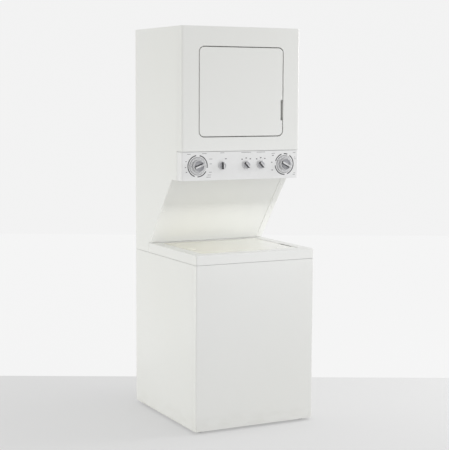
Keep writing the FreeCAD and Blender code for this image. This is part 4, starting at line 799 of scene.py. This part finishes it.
# ---------------------------------------------------------------- studio
FLOOR_TONE = (0.45, 0.45, 0.45)
FLOOR_GLOW = 0.30
WALL_TONE = (0.03, 0.03, 0.03)
WALL_GLOW = 0.865
SHEET_REACH = 9.0               # from each sheet's middle to its sides
FLOOR_LENGTH = 6.55             # from the camera to the grey floor's far edge
FLOOR_DEPTH = 14.0              # from that edge towards and past the camera
WALL_DISTANCE = 6.6             # from that edge to the wall, so that no view is taken from behind it
WALL_HEIGHT = 6.0
WORLD_STRENGTH = 0.77
NEUTRAL = (1.0, 1.0, 1.0)
WARM = (0.975, 0.99, 0.91)
COOL = (0.97, 0.985, 1.0)
RECESS_PIECES = ("slant_panel", "cabinet_side_left", "cabinet_side_right", "flange_screws")
LIGHTS = (                      # name, place, target, size, power, tint, the only pieces it lights
    ("key", (2.2, -4.8, 0.4), (0, 0, 0.6), (2.6, 1.2), 36.0, COOL, ()),
    ("left", (-3.2, 0.5, 0.30), (-0.3, 0, 0.2), (1.6, 0.8), 24.0, WARM, ()),
    ("right", (3.0, -0.6, 2.3), (0, -0.1, 0.82), (2.0, 1.6), 46.0, NEUTRAL, ()),
    ("recess", (-0.5, -1.5, 1.55), (0, 0, 0.85), (0.8, 0.5), 2.4, WARM, (*RECESS_PIECES, "washer_lid")),
    ("slope", (0.1, -1.31, 1.99), (0, 0.16, 0.84), (0.8, 0.3), 50.0, NEUTRAL, RECESS_PIECES),
)


def stage_material(name, tone, glow):
    """A plain matt surface that also gives off a little light of its own, as a lit studio sweep does."""
    made = Finish(name, 0.9, specular=0.1)
    made.colour(made.ramp(made.noise(2.0, 2.0), 0.0, 1.0, tone, tuple(0.99 * part for part in tone)))
    made.shader.inputs["Emission Color"].default_value = (1.0, 1.0, 1.0, 1.0)
    made.shader.inputs["Emission Strength"].default_value = glow
    return made.material


def sheets():
    """The grey floor, the white floor beyond it and the wall, square to the camera."""
    heading = Vector((math.sin(CAMERA_YAW), math.cos(CAMERA_YAW), 0.0))
    across = Vector((heading.y, -heading.x, 0.0))
    foot = Vector((CAMERA_AT[0], CAMERA_AT[1], 0.0)) + heading * FLOOR_LENGTH
    papers = (
        ("floor", foot, -heading, FLOOR_DEPTH, FLOOR_TONE, FLOOR_GLOW),
        ("white_floor", foot, heading, WALL_DISTANCE, WALL_TONE, WALL_GLOW),
        ("backdrop", foot + heading * WALL_DISTANCE, Vector((0, 0, 1)), WALL_HEIGHT, WALL_TONE, WALL_GLOW),
    )
    side = across * SHEET_REACH
    for name, start, direction, length, tone, glow in papers:
        end = start + direction * length
        bm = bmesh.new()
        corners = [start + side, start - side, end - side, end + side]
        bm.faces.new([bm.verts.new(corner) for corner in corners])
        sheet = new_object(name, bm, stage_material(name + "_paper", tone, glow), None, smooth=False)


def lights():
    """The area lights, some of which light only the pieces of the recess, and the even light all round."""
    for name, place, target, size, power, tint, receivers in LIGHTS:
        lamp = bpy.data.lights.new(name, "AREA")
        lamp.color = tint
        lamp.shape = "RECTANGLE"
        lamp.size, lamp.size_y = size
        lamp.energy = power
        holder = bpy.data.objects.new(name, lamp)
        holder.location = place
        holder.rotation_euler = (Vector(target) - Vector(place)).to_track_quat("-Z", "Y").to_euler()
        bpy.context.scene.collection.objects.link(holder)
        if receivers:
            lit = bpy.data.collections.new(name + "_receivers")
            for piece in receivers:
                lit.objects.link(bpy.data.objects[piece])
            holder.light_linking.receiver_collection = lit
            holder.visible_camera = False
            holder.visible_glossy = False
    world = bpy.data.worlds.new("studio_world")
    world.use_nodes = True
    background = world.node_tree.nodes["Background"]
    background.inputs["Color"].default_value = (1.0, 1.0, 1.0, 1.0)
    background.inputs["Strength"].default_value = WORLD_STRENGTH
    bpy.context.scene.world = world


def camera():
    """The camera that the sheets are square to, and plain colours in its picture."""
    lens = bpy.data.cameras.new("camera")
    lens.lens = CAMERA_LENS
    lens.clip_end = 100.0
    holder = bpy.data.objects.new("camera", lens)
    turn = (Matrix.Rotation(-CAMERA_YAW, 4, "Z") @ Matrix.Rotation(math.pi / 2 - CAMERA_PITCH, 4, "X")
            @ Matrix.Rotation(CAMERA_ROLL, 4, "Z"))
    holder.matrix_world = Matrix.Translation(CAMERA_AT) @ turn
    bpy.context.scene.collection.objects.link(holder)
    bpy.context.scene.camera = holder
    bpy.context.scene.view_settings.view_transform = "Standard"


dress_nodes()
print_timer_rings()
print_dashes()
timer_dial("washer_dial_turn", "washer_dial", "washer_timer_dial")
timer_dial("dryer_dial_turn", "dryer_dial", "dryer_timer_dial")
timer_knob("washer_dial_turn", "washer_knob", "washer_timer_knob", -20)
timer_knob("dryer_dial_turn", "dryer_knob", "dryer_timer_knob", 28)
selector_knob("level_turn", "level_selector", "water_level_knob", 0)
selector_knob("wash_heat_turn", "wash_heat_selector", "water_temperature_knob", -42)
selector_knob("dry_heat_turn", "dry_heat_selector", "dryer_heat_knob", -42)
wash_basket()
notch_shadow_strip()
lid_bumpers()
panel_screws()
sheets()
lights()
camera()
